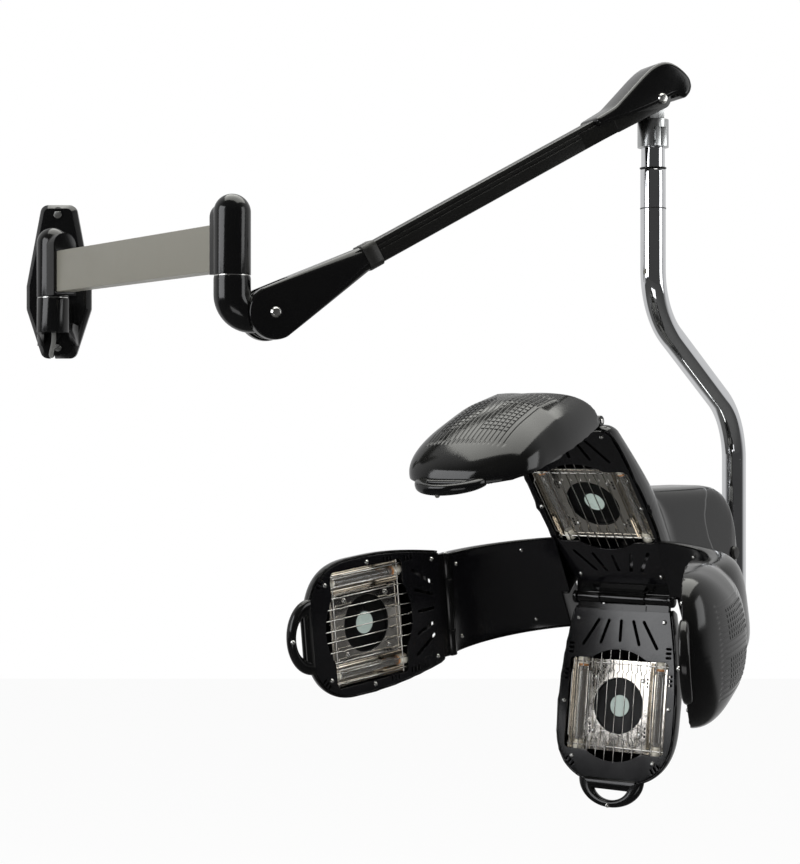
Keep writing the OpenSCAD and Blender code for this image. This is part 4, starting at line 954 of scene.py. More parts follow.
class HOODDRYER_OT_pod_shells(bpy.types.Operator):
    """Grooved and vented outer shells of the four hinged pods, with handles and hinge barrels"""

    bl_idname = "hood_dryer.pod_shells"
    bl_label = "Pod Shells"

    def execute(self, context):
        s = sizes()
        dome = Dome(pod_outline(), POD_MIDDLE, s.pod_depth, 1)
        skin = grooved_grid(dome, s)
        lines = groove_lines(s.groove_pitch)
        rows = [(lines[k] + lines[k + 1]) / 2 for k in range(GROOVES - 1)]
        vented = rows[1:7] + rows[10:16]
        spots = [(x, VENT_FROM + k * s.vent_pitch) for x in vented for k in range(VENT_ROWS)]
        seat_points = [(x, y, dome.height(x, y) - VENT_SINK) for x, y in spots]
        facings = [dome.normal(x, y) for x, y in spots]
        runs = [(0.0, 1.0, 0.0)] * len(spots)
        # Each vent is a small sunk matt plate; its near-black is painted shade standing for the slot's dark
        # inside
        slot_form = Form().plate([superellipse(1.95, 1.25, 5, 12)], -0.3, 0.36, "vent_dark")
        vent = detail_object("vent", slot_form)
        for pod in OUTER_PODS:
            at, body = AT[pod] @ shifted(0, 0, -HINGE_DROP), POD_BODY[pod]
            shell = Form().skin(skin, "gloss_black", closed=False, caps=(False, False))
            outward = tuple(at[:3, 2])
            build(
                pod + "_cover", shell, at, body, "black_gloss", (pod + "_shell",), outward, gap=2e-5,
                wall=s.shell_wall, crisp=38.0
            )
            fittings, hinge = handle_parts(Form()), shifted(0, 0, HINGE_DROP) @ ALONG_X
            for x0, x1 in STRIPS:
                fittings.lathe(edge_profile(BARREL_R, x0, x1, 1.2), "gloss_black", hinge, 40)
                top = (x1, STRIP_END, HINGE_DROP + STRIP_TOP)
                fittings.block((x0, 0.0, HINGE_DROP - 1.5), top, "gloss_black")
            top = HINGE_DROP + (9.2 if pod == "bottom" else STRIP_TOP)
            fittings.block((-36.0, 8.4, 0.3), (36.0, STRIP_END, top), "gloss_black")
            if pod == "bottom":
                fittings.block((-34.0, 1.5, HINGE_DROP + 7.6), (34.0, 9.0, HINGE_DROP + 9.2), "gloss_black")
            build(pod + "_grip", fittings, at, body, "black_gloss", (pod + "_shell",), crisp=40.0)
            grow(
                pod + "_vents", seats(seat_points, facings, runs), "seated", at, body, "black_gloss",
                (pod + "_shell",), Detail=vent, Size=1.0, Finish=FINISH["vent_dark"]
            )
        return {"FINISHED"}


# Inner panels, guards, heaters and fans
WINDOW_HW, WINDOW_HH, WINDOW_R, FAN_SLOT_WIDTH = 76, 62, 75.0, 4.2
PANEL_FROM, PANEL_TO, SCREW_LEVEL, HANDLE_SCREW = 0.5, 2.5, 0.55, (0, 276.5, -2.7)
GUARD_HW, GUARD_LEVEL, GUARD_STEP, WIRE_END, SHORT_END = 70, 3.6, 3.4, 76.0, 64.0
CROSS_BARS, CROSS_HW = (-56.0, 56.0), 78


def window_line(count=96):
    """Heater window: a rectangle joined with a circle"""
    line = []
    for a in np.linspace(0, 2 * math.pi, count, endpoint=False):
        c, s = math.cos(a), math.sin(a)
        box = min(WINDOW_HW / max(abs(c), 1e-6), WINDOW_HH / max(abs(s), 1e-6))
        reach = max(box, WINDOW_R)
        line.append((reach * c, reach * s))
    return line


def slot_line(start, end, width, steps=7):
    start, end = np.array(start, float), np.array(end, float)
    heading = math.atan2(*(end - start)[::-1])
    line = []
    for centre, first in ((end, heading - math.pi / 2), (start, heading + math.pi / 2)):
        for k in range(steps):
            a = first + math.pi * k / (steps - 1)
            line.append(tuple(centre + width / 2 * np.array([math.cos(a), math.sin(a)])))
    return line


FAN_SLOTS = (
    ((0, 113.6), (0, 87.4)), ((19, 113.6), (29.4, 83.6)), ((-19, 113.6), (-29.4, 83.6)),
    ((35, 113.6), (56.8, 79.8)), ((-35, 113.6), (-56.8, 79.8))
)


def fan_slots(direction, lift=0.0):
    ends = [[(x, direction * y + lift) for x, y in slot] for slot in FAN_SLOTS]
    return [slot_line(start, end, FAN_SLOT_WIDTH) for start, end in ends]


def side_vents(lift):
    lines = []
    for side in (-1, 1):
        for y in (-80, -44):
            for k in range(3):
                x, at_y = side * (79 - (4 if y < -60 else 0)), y + 6 * k + lift
                lines.append(slot_line((x - 2.7, at_y), (x + 2.7, at_y), 3.0, 5))
        for k in range(3):
            x, at_y = side * (70 - 4.5 * k), 76 + 3.5 * k + lift
            lines.append(slot_line((x - 1.8 * side, at_y - 2.2), (x + 1.8 * side, at_y + 2.2), 2.6, 5))
    return lines


POD_SCREWS = ((-66, 29), (66, 29), (-80.6, 143), (80.6, 143), (-62, 216), (62, 216))
HUB_SCREWS = ((-62, -122), (62, -122), (-76, 0), (76, 0), (-62, 122), (62, 122))


class HOODDRYER_OT_panels(bpy.types.Operator):
    """Satin inner panels with their windows, slots and screws"""

    bl_idname = "hood_dryer.panels"
    bl_label = "Inner Panels"

    def execute(self, context):
        s = sizes()
        window = window_line()
        screw = detail_object("screw", screw_form())
        for pod in POD_NAMES:
            body = POD_BODY[pod]
            if pod == "hub":
                at = AT["hub"]
                outlines = [whole(hub_outline(PANEL_INSET)), window] + fan_slots(-1) + fan_slots(1)
                screws = HUB_SCREWS
            else:
                at = AT[pod] @ shifted(0, 0, -HINGE_DROP)
                raised_window = [(x, y + FAN_REACH) for x, y in window]
                outlines = [whole(pod_outline(PANEL_INSET)), raised_window]
                outlines += fan_slots(-1, FAN_REACH) + side_vents(FAN_REACH)
                screws = POD_SCREWS
            form = Form().plate(outlines, PANEL_FROM, PANEL_TO, "panel_black", soften=0.35)
            build(
                pod + "_inner_panel", form, at, body, "panel_black", (pod + "_panel",), gap=1e-7, crisp=50.0,
                level=True
            )
            points = [(x, y, SCREW_LEVEL) for x, y in screws]
            if pod != "hub":
                points.append(HANDLE_SCREW)
            seed = seats(points, [(0, 0, -1)] * len(points), [(0.6, 0.8, 0)] * len(points))
            grow(
                pod + "_screws", seed, "seated", at, body, "bright_steel", (pod + "_panel",), Detail=screw,
                Size=s.screw / 2, Finish=FINISH["bright"]
            )
        return {"FINISHED"}


class HOODDRYER_OT_guards(bpy.types.Operator):
    """Wire guards over the heater windows, kinked where the lengthwise wires step out"""

    bl_idname = "hood_dryer.guards"
    bl_label = "Wire Guards"

    def execute(self, context):
        s = sizes()
        level, step = GUARD_LEVEL, GUARD_STEP
        lines = []
        for x in np.linspace(-GUARD_HW, GUARD_HW, s.wires):
            end = WIRE_END if abs(x) < 40 else SHORT_END
            line = [(x, -end, level)]
            for side in (-1, 1):
                kink = [(x, side * 49.0, level), (x + 1.2, side * 46.5, level - step * 0.35)]
                kink.append((x - 0.6, side * 43.5, level - step))
                line += kink if side < 0 else kink[::-1]
            lines.append(line + [(x, end, level)])
        for y in CROSS_BARS:
            lines.append([(x, y, level + s.wire * 0.9) for x in (-CROSS_HW, CROSS_HW)])
        for pod in POD_NAMES:
            grow(
                pod + "_wires", paths(lines), "wire", FAN_AT[pod], POD_BODY[pod], "chrome_wire",
                (pod + "_guard",), Radius=s.wire / 2, Sides=10, Finish=FINISH["wire"], crisp=50.0
            )
        return {"FINISHED"}


FAN_HOLE = 35.75
LAMP_OUT, LAMP_UP, TROUGH_END, TROUGH_FOOT = 60, 12.4, 61, 8.2
COIL_TURNS, COIL_R, COIL_END, GLASS_R, GLASS_END = 34, 2.4, 46, 5.5, 53


def trough_ring(middle, y):
    """Section of a lamp's trough: a half round of sheet that is open towards the head"""
    turn = np.linspace(0, math.pi, 25)
    outer = [(middle + 15 * math.cos(a), y, LAMP_UP + 14.6 * math.sin(a)) for a in turn]
    inner = [(middle + 14.2 * math.cos(a), y, LAMP_UP + 13.8 * math.sin(a)) for a in turn[::-1]]
    left = [(middle - 15, y, TROUGH_FOOT), (middle - 14.2, y, TROUGH_FOOT)]
    return [(middle + 15, y, TROUGH_FOOT)] + outer + left + inner + [(middle + 14.2, y, TROUGH_FOOT)]


def heater_form():
    """Reflector plate with a lamp trough on each side, quartz tubes, coils and ceramic ends"""
    form = Form()
    spots = [(side * 42.2, y) for side in (-1, 1) for y in (-38, -33, -28, 28, 33, 38)]
    slits = [box_line(x, y, 1.3, 1.6) for x, y in spots]
    form.plate([box_line(0, 0, 46, TROUGH_END), circle(38, 64)] + slits, 8.0, 9.0, "mirror", soften=0.2)
    for side in (-1, 1):
        rings = [trough_ring(side * LAMP_OUT, y) for y in np.linspace(-TROUGH_END, TROUGH_END, 25)]
        form.skin(rings, "mirror")
        for end in (-1, 1):
            cap_at = shifted(side * LAMP_OUT, end * TROUGH_END, LAMP_UP)
            half = [(14 * math.cos(a), 13.6 * math.sin(a)) for a in np.linspace(0, math.pi, 21)]
            half += [(-14, -4), (14, -4)]
            form.skin([[(x, y, z) for x, z in half] for y in (-0.5, 0.5)], "mirror", cap_at)
        tube_at = shifted(side * LAMP_OUT, 0, LAMP_UP)
        glass = [(0, -GLASS_END), (GLASS_R, -GLASS_END), (GLASS_R, GLASS_END), (0, GLASS_END)]
        form.lathe(glass, "quartz", tube_at @ ALONG_Y, 32)
        turns = np.linspace(0, COIL_TURNS * 2 * math.pi, COIL_TURNS * 10)
        coil = []
        for k, a in enumerate(turns):
            y = -COIL_END + 2 * COIL_END * k / (len(turns) - 1)
            coil.append((COIL_R * math.cos(a), y, COIL_R * math.sin(a)))
        form.sweep(coil, 0.55, "filament", tube_at, sides=5)
        for end, finish in ((-1, "clay"), (1, "ceramic")):
            low, high = sorted((end * 53.0, end * 65.5))
            form.lathe(edge_profile(7.4, low, high, 1.4), "ceramic", tube_at @ ALONG_Y, 32)
            low, high = sorted((end * 50.0, end * 53.5))
            form.lathe(edge_profile(6.2, low, high, 0.8), finish, tube_at @ ALONG_Y, 32)
    return form


class HOODDRYER_OT_heaters(bpy.types.Operator):
    """Polished reflectors with two quartz lamps in each pod"""

    bl_idname = "hood_dryer.heaters"
    bl_label = "Heaters"

    def execute(self, context):
        screw = detail_object("screw", screw_form())
        for pod in POD_NAMES:
            build(
                pod + "_lamps", heater_form(), FAN_AT[pod], POD_BODY[pod], "reflector", (pod + "_heater",),
                crisp=40.0, level=True
            )
            points = [(x * FAN_HOLE, y * FAN_HOLE, 7.9) for x in (-1, 1) for y in (-1, 1)]
            grow(
                pod + "_fan_screws", seats(points, [(0, 0, -1)] * 4, [(0.4, 0.9, 0)] * 4), "seated",
                FAN_AT[pod], POD_BODY[pod], "bright_steel", (pod + "_heater",), Detail=screw, Size=3.4,
                Finish=FINISH["bright"]
            )
        return {"FINISHED"}


FAN_HALF, FAN_BORE, FAN_FRONT, FAN_BACK, WALL_R = 40, 37.6, 9.2, 34.0, 39.4
BLADES_AT, BLADE_ROOT, BLADE_LEN, BLADE_PITCH, BLADE_TWIST = 21.5, 17.4, 17.6, 46, 14
MOTOR_PROFILE = (
    (0, 12.0), (13.4, 12.0), (15.6, 12.3), (17.2, 13.2), (18.0, 15.0), (18.0, 29.5), (2, 29.5), (2, 33.4),
    (0, 33.4)
)


def blade_form():
    """One twisted and cupped fan blade, from the motor out to the tip"""
    rings = []
    for t in np.linspace(0, 1, 9):
        r, chord = BLADE_ROOT + BLADE_LEN * t, 15 + 5 * t
        pitch = math.radians(BLADE_PITCH - BLADE_TWIST * t)
        ring = []
        for k in list(np.linspace(-0.5, 0.5, 9)) + list(np.linspace(0.5, -0.5, 9)):
            thick = (0.7 if len(ring) < 9 else -0.7) * (1 - (2 * k) ** 4 * 0.7)
            along, cup = k * chord, 1.6 * (1 - (2 * k) ** 2)
            across = along * math.cos(pitch) - cup * math.sin(pitch)
            lift = along * math.sin(pitch) + cup * math.cos(pitch) + thick
            angle = across / r + 0.22 * t
            ring.append((r * math.cos(angle), r * math.sin(angle), BLADES_AT + lift))
        rings.append(ring)
    return Form().skin(rings, "fan_black")


class HOODDRYER_OT_fans(bpy.types.Operator):
    """Square fan frames, and wheels that spin in them with a plain disc on the motor"""

    bl_idname = "hood_dryer.fans"
    bl_label = "Fans"

    def execute(self, context):
        s = sizes()
        square = superellipse(FAN_HALF, FAN_HALF, 16, 64)
        bore = circle(FAN_BORE, 72)
        middles = [(x * FAN_HOLE, y * FAN_HOLE) for x in (-1, 1) for y in (-1, 1)]
        corners = [[(x + u, y + v) for u, v in circle(2, 16)] for x, y in middles]
        for pod in POD_NAMES:
            at, body = FAN_AT[pod], POD_BODY[pod]
            case = Form()
            for low, high in ((FAN_FRONT, 12.6), (30.6, FAN_BACK)):
                case.plate([square, bore] + corners, low, high, "fan_black", soften=0.5)
            wall = [(WALL_R, 12.4), (WALL_R, 30.8), (FAN_BORE, 30.8), (FAN_BORE, 12.4)]
            case.lathe(wall, "fan_black", sides=72)
            case.lathe(edge_profile(17.2, 31.0, FAN_BACK, 0.6, inner=2.2), "fan_black")
            for spin in (45, 135, 225, 315):
                case.block((16, -2, 31.4), (38.2, 2, 33.9), "fan_black", turned("Z", spin))
            build(pod + "_fan_case", case, at, body, "fan_black", (pod + "_fan",), crisp=40.0)
            wheel = Form()
            wheel.lathe(MOTOR_PROFILE, "fan_black", sides=56)
            wheel.lathe([(0, 11.82), (14.2, 11.82), (14.4, 12.05), (0, 12.05)], "label", sides=56)
            wheel_body = pod + "_fan_wheel"
            build(pod + "_wheel", wheel, at, wheel_body, "fan_black", (pod + "_rotor",), crisp=40.0)
            blade = raw_object("blade", blade_form(), np.eye(4))
            blade.data.transform(Matrix.Scale(1 / MM, 4))
            cleaned(blade.data)
            seed = blade.data.copy()
            bpy.data.objects.remove(blade)
            grow(
                pod + "_blades", seed, "spun", at, wheel_body, "fan_black", (pod + "_rotor",), Count=s.blades,
                Finish=FINISH["fan_black"]
            )
        return {"FINISHED"}


# Hub with its two side wings
WING_START, POD_ROOM_END, POD_ROOM_TOP, WING_LEAN = 78.0, 88, 11, 28.0
WING_HALF, WING_RISE, WING_LIFT, WING_DEPTH, WING_THINS = 68, 16, 10, 50, 12
LINER_INSET, LINER_FACE, LINER_LIP, LINER_THICK = 3.5, 1.4, 1.2, 1.8
WING_REACH_X, WING_REACH_B, WING_END = SIDE_OUT - WING_START, 116.0, -SIDE_FWD + HINGE_EDGE


def wing_frame(t, side):
    """Place, outward and upward directions, upper and lower half heights, and depth of a wing

    t runs from 0 at the hub to 1 at the hinge.
    """
    a = math.pi / 2 * t
    b = WING_END + WING_REACH_B * math.cos(a)
    lean = math.radians(WING_LEAN + (SIDE_DIP - WING_LEAN) * t)
    height = -SIDE_LOW + (b + SIDE_FWD) * math.tan(math.radians(SIDE_DIP))
    place = np.array([side * (WING_START + WING_REACH_X * math.sin(a)), b, height])
    out = np.array([side * WING_REACH_B * math.sin(a), WING_REACH_X * math.cos(a) + 0.001, 0.0])
    up = np.array([0.0, -math.sin(lean), math.cos(lean)])
    high, low = WING_HALF + WING_RISE * (1 - t) ** 2, WING_HALF - WING_LIFT * (1 - t)
    return place, out / np.linalg.norm(out), up, high, low, WING_DEPTH - WING_THINS * t


def wing_ring(t, side, inset=0.0, count=41, power=3.6):
    place, out, up, high, low, deep = wing_frame(t, side)
    middle, half = (high - low) / 2, (high + low) / 2 - inset
    ring = []
    for angle in np.linspace(0, math.pi, count):
        c, s = math.cos(angle), math.sin(angle)
        n = (deep - inset) * abs(s) ** (2 / power)
        ring.append(place + out * n + up * (middle + half * math.copysign(abs(c) ** (2 / power), c)))
    return ring


def liner_ring(t, side, count=25):
    """Inner face of a wing: a shallow tray with turned-up edges"""
    place, out, up, high, low, _ = wing_frame(t, side)
    heights = np.linspace(-low + LINER_INSET, high - LINER_INSET, count)
    front, back = [], []
    for h in heights:
        edge = min(h + low - LINER_INSET, high - LINER_INSET - h)
        n = LINER_FACE - LINER_LIP * math.exp(-edge / 1.6)
        front.append(place + out * n + up * h)
        back.append(place + out * (n + LINER_THICK) + up * h)
    return front + back[::-1]


def clear_of_pod(points, up):
    """Lifts the part of a wing beside the hub out of the room in which the bottom pod swings"""
    along_hub = (np.linalg.inv(AT["hub"]) @ AT["head"])[1]
    over = [along_hub[:3] @ p + along_hub[3] - (HUB_BOTTOM - POD_ROOM_TOP) for p in points]
    return [p - up * max(0.0, o) / (along_hub[:3] @ up) for p, o in zip(points, over)]


def wing_rings(ring, side, end=1.0):
    """Rings from the hub to the hinge, cut short beside the hub"""
    step = math.asin((POD_ROOM_END - WING_START) / WING_REACH_X) * 2 / math.pi
    short = [clear_of_pod(ring(t, side), wing_frame(t, side)[2]) for t in np.linspace(0, step, 5)]
    return short + [ring(t, side) for t in np.linspace(step, end, 54)]


def hub_dome():
    return Dome(hub_outline(), 16.0, sizes().hub_depth, -1)


CHEEKS, CHEEK_R, APRON_HW = ((-76.0, -70.6), (70.6, 76.0)), 9.0, 74.0
APRON = (
    (136.0, 0.4), (137.5, -0.6), (147.0, -8.2), (148.5, -6.6), (153.0, -5.6), (153.0, -4.4), (149.5, -4.0),
    (141.0, 6.0), (137.0, 9.0)
)
WING_SCREWS = ((0.93, 0.74), (0.93, -0.74), (0.32, 0.8), (0.32, -0.72))


class HOODDRYER_OT_hub(bpy.types.Operator):
    """Hub cover with its hinge barrels and the two curved side wings"""

    bl_idname = "hood_dryer.hub"
    bl_label = "Hub and Wings"

    def execute(self, context):
        s = sizes()
        dome = hub_dome()
        columns = dome.wide * np.sin(np.linspace(-math.pi / 2, math.pi / 2, 81))
        cover = Form().skin(dome.grid(columns, 97), "gloss_black", closed=False, caps=(False, False))
        build(
            "hub_cover", cover, AT["hub"], "hood", "black_gloss", ("hub_shell",), tuple(AT["hub"][:3, 2]),
            gap=2e-5, wall=s.shell_wall, crisp=38.0
        )
        fittings = Form()
        top_hinge, bottom_hinge = shifted(0, -HUB_TOP, HINGE_DROP), shifted(0, HUB_BOTTOM, -HUB_STEP)
        barrel = edge_profile(BARREL_R, -BARREL_HW, BARREL_HW, 1.2)
        for at in (top_hinge, bottom_hinge):
            fittings.lathe(barrel, "gloss_black", at @ ALONG_X, 40)
        for start, end, low, high in (
            (-HUB_TOP, -HUB_TOP + 15, HINGE_DROP + 0.5, HINGE_DROP + 5),
            (HUB_BOTTOM - 14, HUB_BOTTOM - 9, -HUB_STEP, 4),
            (HUB_BOTTOM - 14, HUB_BOTTOM, -HUB_STEP + 0.5, -HUB_STEP + 5)
        ):
            fittings.block((-BARREL_HW, start, low), (BARREL_HW, end, high), "gloss_black")
        fittings.skin([[(x, y, z) for y, z in APRON] for x in (-APRON_HW, APRON_HW)], "gloss_black")
        for low, high in CHEEKS:
            cheek = edge_profile(CHEEK_R, low, high, 1.0)
            fittings.lathe(cheek, "gloss_black", bottom_hinge @ ALONG_X, 40)
        build("hub_barrels", fittings, AT["hub"], "hood", "black_gloss", ("hub_shell",), crisp=40.0)
        for name, side in (("left", -1), ("right", 1)):
            skin = Form().skin(wing_rings(wing_ring, side), "gloss_black", closed=False, caps=(False, False))
            outward = tuple(AT["head"][:3, :3] @ np.array([side, 1.0, 0.0]))
            build(
                name + "_wing", skin, AT["head"], "hood", "black_gloss", ("side_wings",), outward,
                wall=s.shell_wall, crisp=40.0, level=True
            )
            end = Form().skin([wing_ring(t, side, 1.2) for t in (0.984, 0.998)], "gloss_black")
            hinge = shifted(side * SIDE_OUT, -SIDE_FWD, -SIDE_LOW) @ turned("X", SIDE_DIP)
            hinge = hinge @ turned("Z", 180) @ turned("Y", -side * 90)
            end.lathe(barrel, "gloss_black", hinge @ ALONG_X, 40)
            end.block((-BARREL_HW, -12.5, 0.3), (BARREL_HW, 0, 5), "gloss_black", hinge)
            build(name + "_wing_end", end, AT["head"], "hood", "black_gloss", ("side_wings",), crisp=40.0)
            liner = Form().skin(wing_rings(liner_ring, side, 0.985), "panel_black")
            build(
                name + "_wing_liner", liner, AT["head"], "hood", "panel_black", ("wing_liners",), crisp=40.0,
                level=True
            )
        screw = detail_object("screw", screw_form())
        points, facings = [], []
        for side in (-1, 1):
            for t, share in WING_SCREWS:
                place, out, up, high, low, _ = wing_frame(t, side)
                points.append(place + out * 1.35 + up * (share * (high if share > 0 else low)))
                facings.append(-out)
        grow(
            "wing_screws", seats(points, facings, [(0.0, 0.2, 1.0)] * len(points)), "seated", AT["head"],
            "hood", "bright_steel", ("wing_liners",), Detail=screw, Size=3.0, Finish=FINISH["bright"]
        )
        return {"FINISHED"}


# Rear housing and its end cap
HOUSE_FRONT, HOUSE_BACK, SEAM_GAP, CAP_WALL = 200.0, 336.0, 0.25, 2.6
FLARE_UP, FLARE_SIDE, FLARE_BELOW, FOOT_END, FOOT_FADE, NO_MEETING = 5, 24, 2.0, 116, 30, 92.0
TILT_SLOT = (-8.0, 283.0, -110.5), (8.0, 380.0, -3.5)
SEAM = (
    (-140, 300), (-90, 272), (-62, 240), (-36, 222), (-14, 218), (6, 226), (16, 238), (25, 249), (40, 262)
)
TOP_LINE = (
    (200, 25), (256, 25), (270, 23.4), (284, 18.5), (296, 9.5), (306, -4), (314, -22), (322, -44), (329, -62),
    (334, -76), (336, -88)
)
LOW_LINE = ((200, -118), (314, -118), (324, -116.5), (331, -112.5), (336, -103))
WIDE_LINE = ((200, 55), (298, 55), (312, 53.5), (322, 50.5), (330, 46), (336, 39))


def along(line, value):
    return float(np.interp(value, [p[0] for p in line], [p[1] for p in line]))


def house_point(angle, b, inset=0.0, power=5.0):
    c, s = math.cos(angle), math.sin(angle)
    top, low, wide = along(TOP_LINE, b) - inset, along(LOW_LINE, b) + inset, along(WIDE_LINE, b) - inset
    c, s = math.copysign(abs(c) ** (2 / power), c), math.copysign(abs(s) ** (2 / power), s)
    return np.array([wide * c, b, (top + low) / 2 + (top - low) / 2 * s])


def in_hub(b, z):
    """Place along the hub and height over it of a point b behind the hub's fan and z above it"""
    lean = math.radians(HUB_TILT - 90)
    return math.cos(lean) * b + math.sin(lean) * z, -math.sin(lean) * b + math.cos(lean) * z


def dome_entry(dome, x, z, start=330.0, stop=30.0):
    """Distance back from the hub's fan at which a level line meets the hub's cover"""
    for b in np.arange(start, stop, -1.0):
        y_in, z_in = in_hub(b, z)
        low, high = dome.ends(min(abs(x), dome.wide))
        if abs(x) < dome.wide and low < y_in < high and z_in < dome.height(x, y_in):
            return b
    return None


class HOODDRYER_OT_rear_housing(bpy.types.Operator):
    """Rear housing that grows out of the hub, and the end cap with its curved seam and tilt slot"""

    bl_idname = "hood_dryer.rear_housing"
    bl_label = "Rear Housing"

    def execute(self, context):
        dome = hub_dome()
        angles = np.linspace(0, 2 * math.pi, 144, endpoint=False)
        front = []
        for angle in angles:
            p = house_point(angle, HOUSE_FRONT)
            corner = dome_entry(dome, p[0], p[2])
            flare = FLARE_BELOW
            if math.sin(angle) > -0.75:
                flare = FLARE_UP + FLARE_SIDE * abs(math.cos(angle)) ** 2
            outward = np.array([math.cos(angle), 0, 1.2 * math.sin(angle)])
            outward /= np.linalg.norm(outward)
            foot = p + outward * flare
            foot_b = dome_entry(dome, foot[0], foot[2])
            if foot_b is not None:
                depth = in_hub(foot_b, foot[2])[0]
                flare *= min(1.0, max(0.02, (FOOT_END - depth) / FOOT_FADE))
                foot = p + outward * flare
                foot_b = dome_entry(dome, foot[0], foot[2])
            if corner is None or foot_b is None:
                corner = corner or NO_MEETING
                foot_b, foot = corner - 4, p
            curve = ((foot[0], foot_b - 0.6, foot[2]), (p[0], corner, p[2]), (p[0], corner + flare, p[2]))
            front.append([np.array(point) for point in curve])
        rings = []
        for t in np.linspace(0, 1, 13):
            rings.append([(1 - t) ** 2 * f + 2 * t * (1 - t) * c + t * t * g for f, c, g in front])
        for t in np.linspace(0, 1, 21)[1:]:
            row = []
            for angle, (_, _, g) in zip(angles, front):
                seam = along(SEAM, g[2]) - SEAM_GAP
                row.append(np.array([g[0], g[1] + (seam - g[1]) * t, g[2]]))
            rings.append(row)
        house = Form().skin(rings, "gloss_black", caps=(False, False))
        build(
            "rear_cover", house, AT["head"], "hood", "black_gloss", ("rear_housing",), wall=2.4, crisp=50.0,
            level=True
        )
        # A near-black band in the seam gap: painted shade of the gap
        band = []
        for inset, reach in ((1.1, -3.0), (1.1, 3.0), (1.9, 3.0), (1.9, -3.0)):
            line = [along(SEAM, house_point(angle, HOUSE_FRONT)[2]) + reach for angle in angles]
            band.append([house_point(angle, b, inset) for angle, b in zip(angles, line)])
        build(
            "seam_band", Form().skin(band, "vent_dark", looped=True), AT["head"], "hood", "black_gloss",
            ("rear_housing",), crisp=50.0
        )
        outside = self.cap_rings(angles, 0.0)
        inside = self.cap_rings(angles, CAP_WALL)
        cap = Form().skin(outside[::-1] + inside, "gloss_black")
        slot = Form().block(*TILT_SLOT, "gloss_black")
        piece = carved("end_cover", cap, slot, AT["head"])
        finish_piece(piece, "hood", "black_gloss", ("end_cap",), crisp=40.0)
        for node, look in (
            ("tilt_bolt", "matte_black"), ("control_panel", "matte_black"), ("power_button", "red_key"),
            ("time_up_button", "grey_key"), ("time_down_button", "grey_key"), ("hinge_pins", "bright")
        ):
            softened_node(node, look, soften=0.5)
        return {"FINISHED"}

    def cap_rings(self, angles, inset):
        """Rings of the end cap from its seam round its edge to the middle of its back"""
        rings = []
        for t in np.linspace(0, 1, 49):
            row = []
            for angle in angles:
                seam = along(SEAM, house_point(angle, HOUSE_FRONT)[2]) + SEAM_GAP
                b = seam + (HOUSE_BACK - inset - seam) * (1 - (1 - t) ** 1.8)
                row.append(house_point(angle, b, inset))
            rings.append(row)
        edge = rings[-1]
        middle = np.mean(edge, axis=0)
        for t in (0.97, 0.9, 0.75, 0.5, 0.2):
            rings.append([middle + (p - middle) * t + np.array([0, 1.6 * (1 - t * t), 0]) for p in edge])
        return rings


def carved(name, form, room, at):
    """A closed piece with another form cut out of it, as a plain mesh"""
    piece = raw_object(name, form, at)
    cleaned(piece.data)
    tool = raw_object("cutter", room, at)
    cleaned(tool.data)
    cut = piece.modifiers.new("Cut", "BOOLEAN")
    cut.operation, cut.solver, cut.object = "DIFFERENCE", "EXACT", tool
    graph = bpy.context.evaluated_depsgraph_get()
    mesh = bpy.data.meshes.new_from_object(piece.evaluated_get(graph), depsgraph=graph)
    piece.modifiers.clear()
    piece.data = mesh
    bpy.data.objects.remove(tool)
    return piece


# Lift arm
NEAR_R, NEAR_HW, NEAR_END, NEAR_END_HH, NEAR_END_HW, NEAR_RISE = 35.0, 28.0, 146.0, 16.5, 19, 3.0
PIN_X, FORK_X, FORK_R, FORK_SIDE, BEAM_HW, FLANK_HH = 633, 552, 14, (22.4, 26.3), 16, 11.3
NEAR_ROOM = ((-40, -14.4, -40), (42, 14.4, 40)), ((41, -14.5, -9.5), (150, 14.5, 15.5))
FAR_HW, FAR_ROOM_HW, FAR_SOFT = 29.5, 27, 6.5


def tapered(x):
    """Half height, middle height and half width of the near cover at the distance x from the pivot"""
    if x < 0:
        return math.sqrt(max(0.0, NEAR_R ** 2 - x * x)), 0.0, NEAR_HW
    t = min(1, x / NEAR_END)
    half_h, half_w = NEAR_R + (NEAR_END_HH - NEAR_R) * t, NEAR_HW + (NEAR_END_HW - NEAR_HW) * t ** 1.2
    return half_h, NEAR_RISE * t, half_w


def boxed_ring(x, half_h, middle, half_w, corner, steps=5):
    """Rounded rectangle across the arm"""
    corner = min(corner, half_h * 0.96)
    ring = []
    for y, z, first in ((1, 1, 0), (-1, 1, 90), (-1, -1, 180), (1, -1, 270)):
        for k in range(steps + 1):
            a = math.radians(first + 90 * k / steps)
            height = middle + z * (half_h - corner) + corner * math.sin(a)
            ring.append((x, y * (half_w - corner) + corner * math.cos(a), height))
    return ring


def beam_ring(x):
    """Section of the beam: a rounded box with lengthwise steps on its sides and top"""
    right = [
        (14.0, 18), (16.2, 17.4), (17, 15.5), (17, 12.6), (15.9, 12.0), (15.9, 10.8), (17, 10.2), (17, 6.4),
        (15.9, 5.8), (15.9, 4.6), (17, 4.0), (17, -8.5), (16.2, -11.2), (14.0, -12)
    ]
    top = [(-4.5, 18), (-4.5, 17.2), (4.5, 17.2), (4.5, 18)]
    return [(x, y, z) for y, z in right] + [(x, -y, z) for y, z in right[::-1]] + [(x, y, z) for y, z in top]


FAR_PROFILE = (
    (528, 7), (528, 19.8), (546, 20.6), (565, 21.4), (580, 26), (604, 33.6), (624, 40), (640, 44), (652, 45),
    (662, 42.5), (670, 37.5), (677, 29), (683, 17), (686, 6), (683.5, -5), (677, -11.5), (669, -14.6),
    (665, -14), (661, -10), (656, -5), (648, -4), (632, -4), (617, -4), (577, 0), (552, 5)
)
FAR_ROOM = ((526, -30), (526, 12), (620, 12), (636, 28), (652, 28), (664, 8), (655, -30))


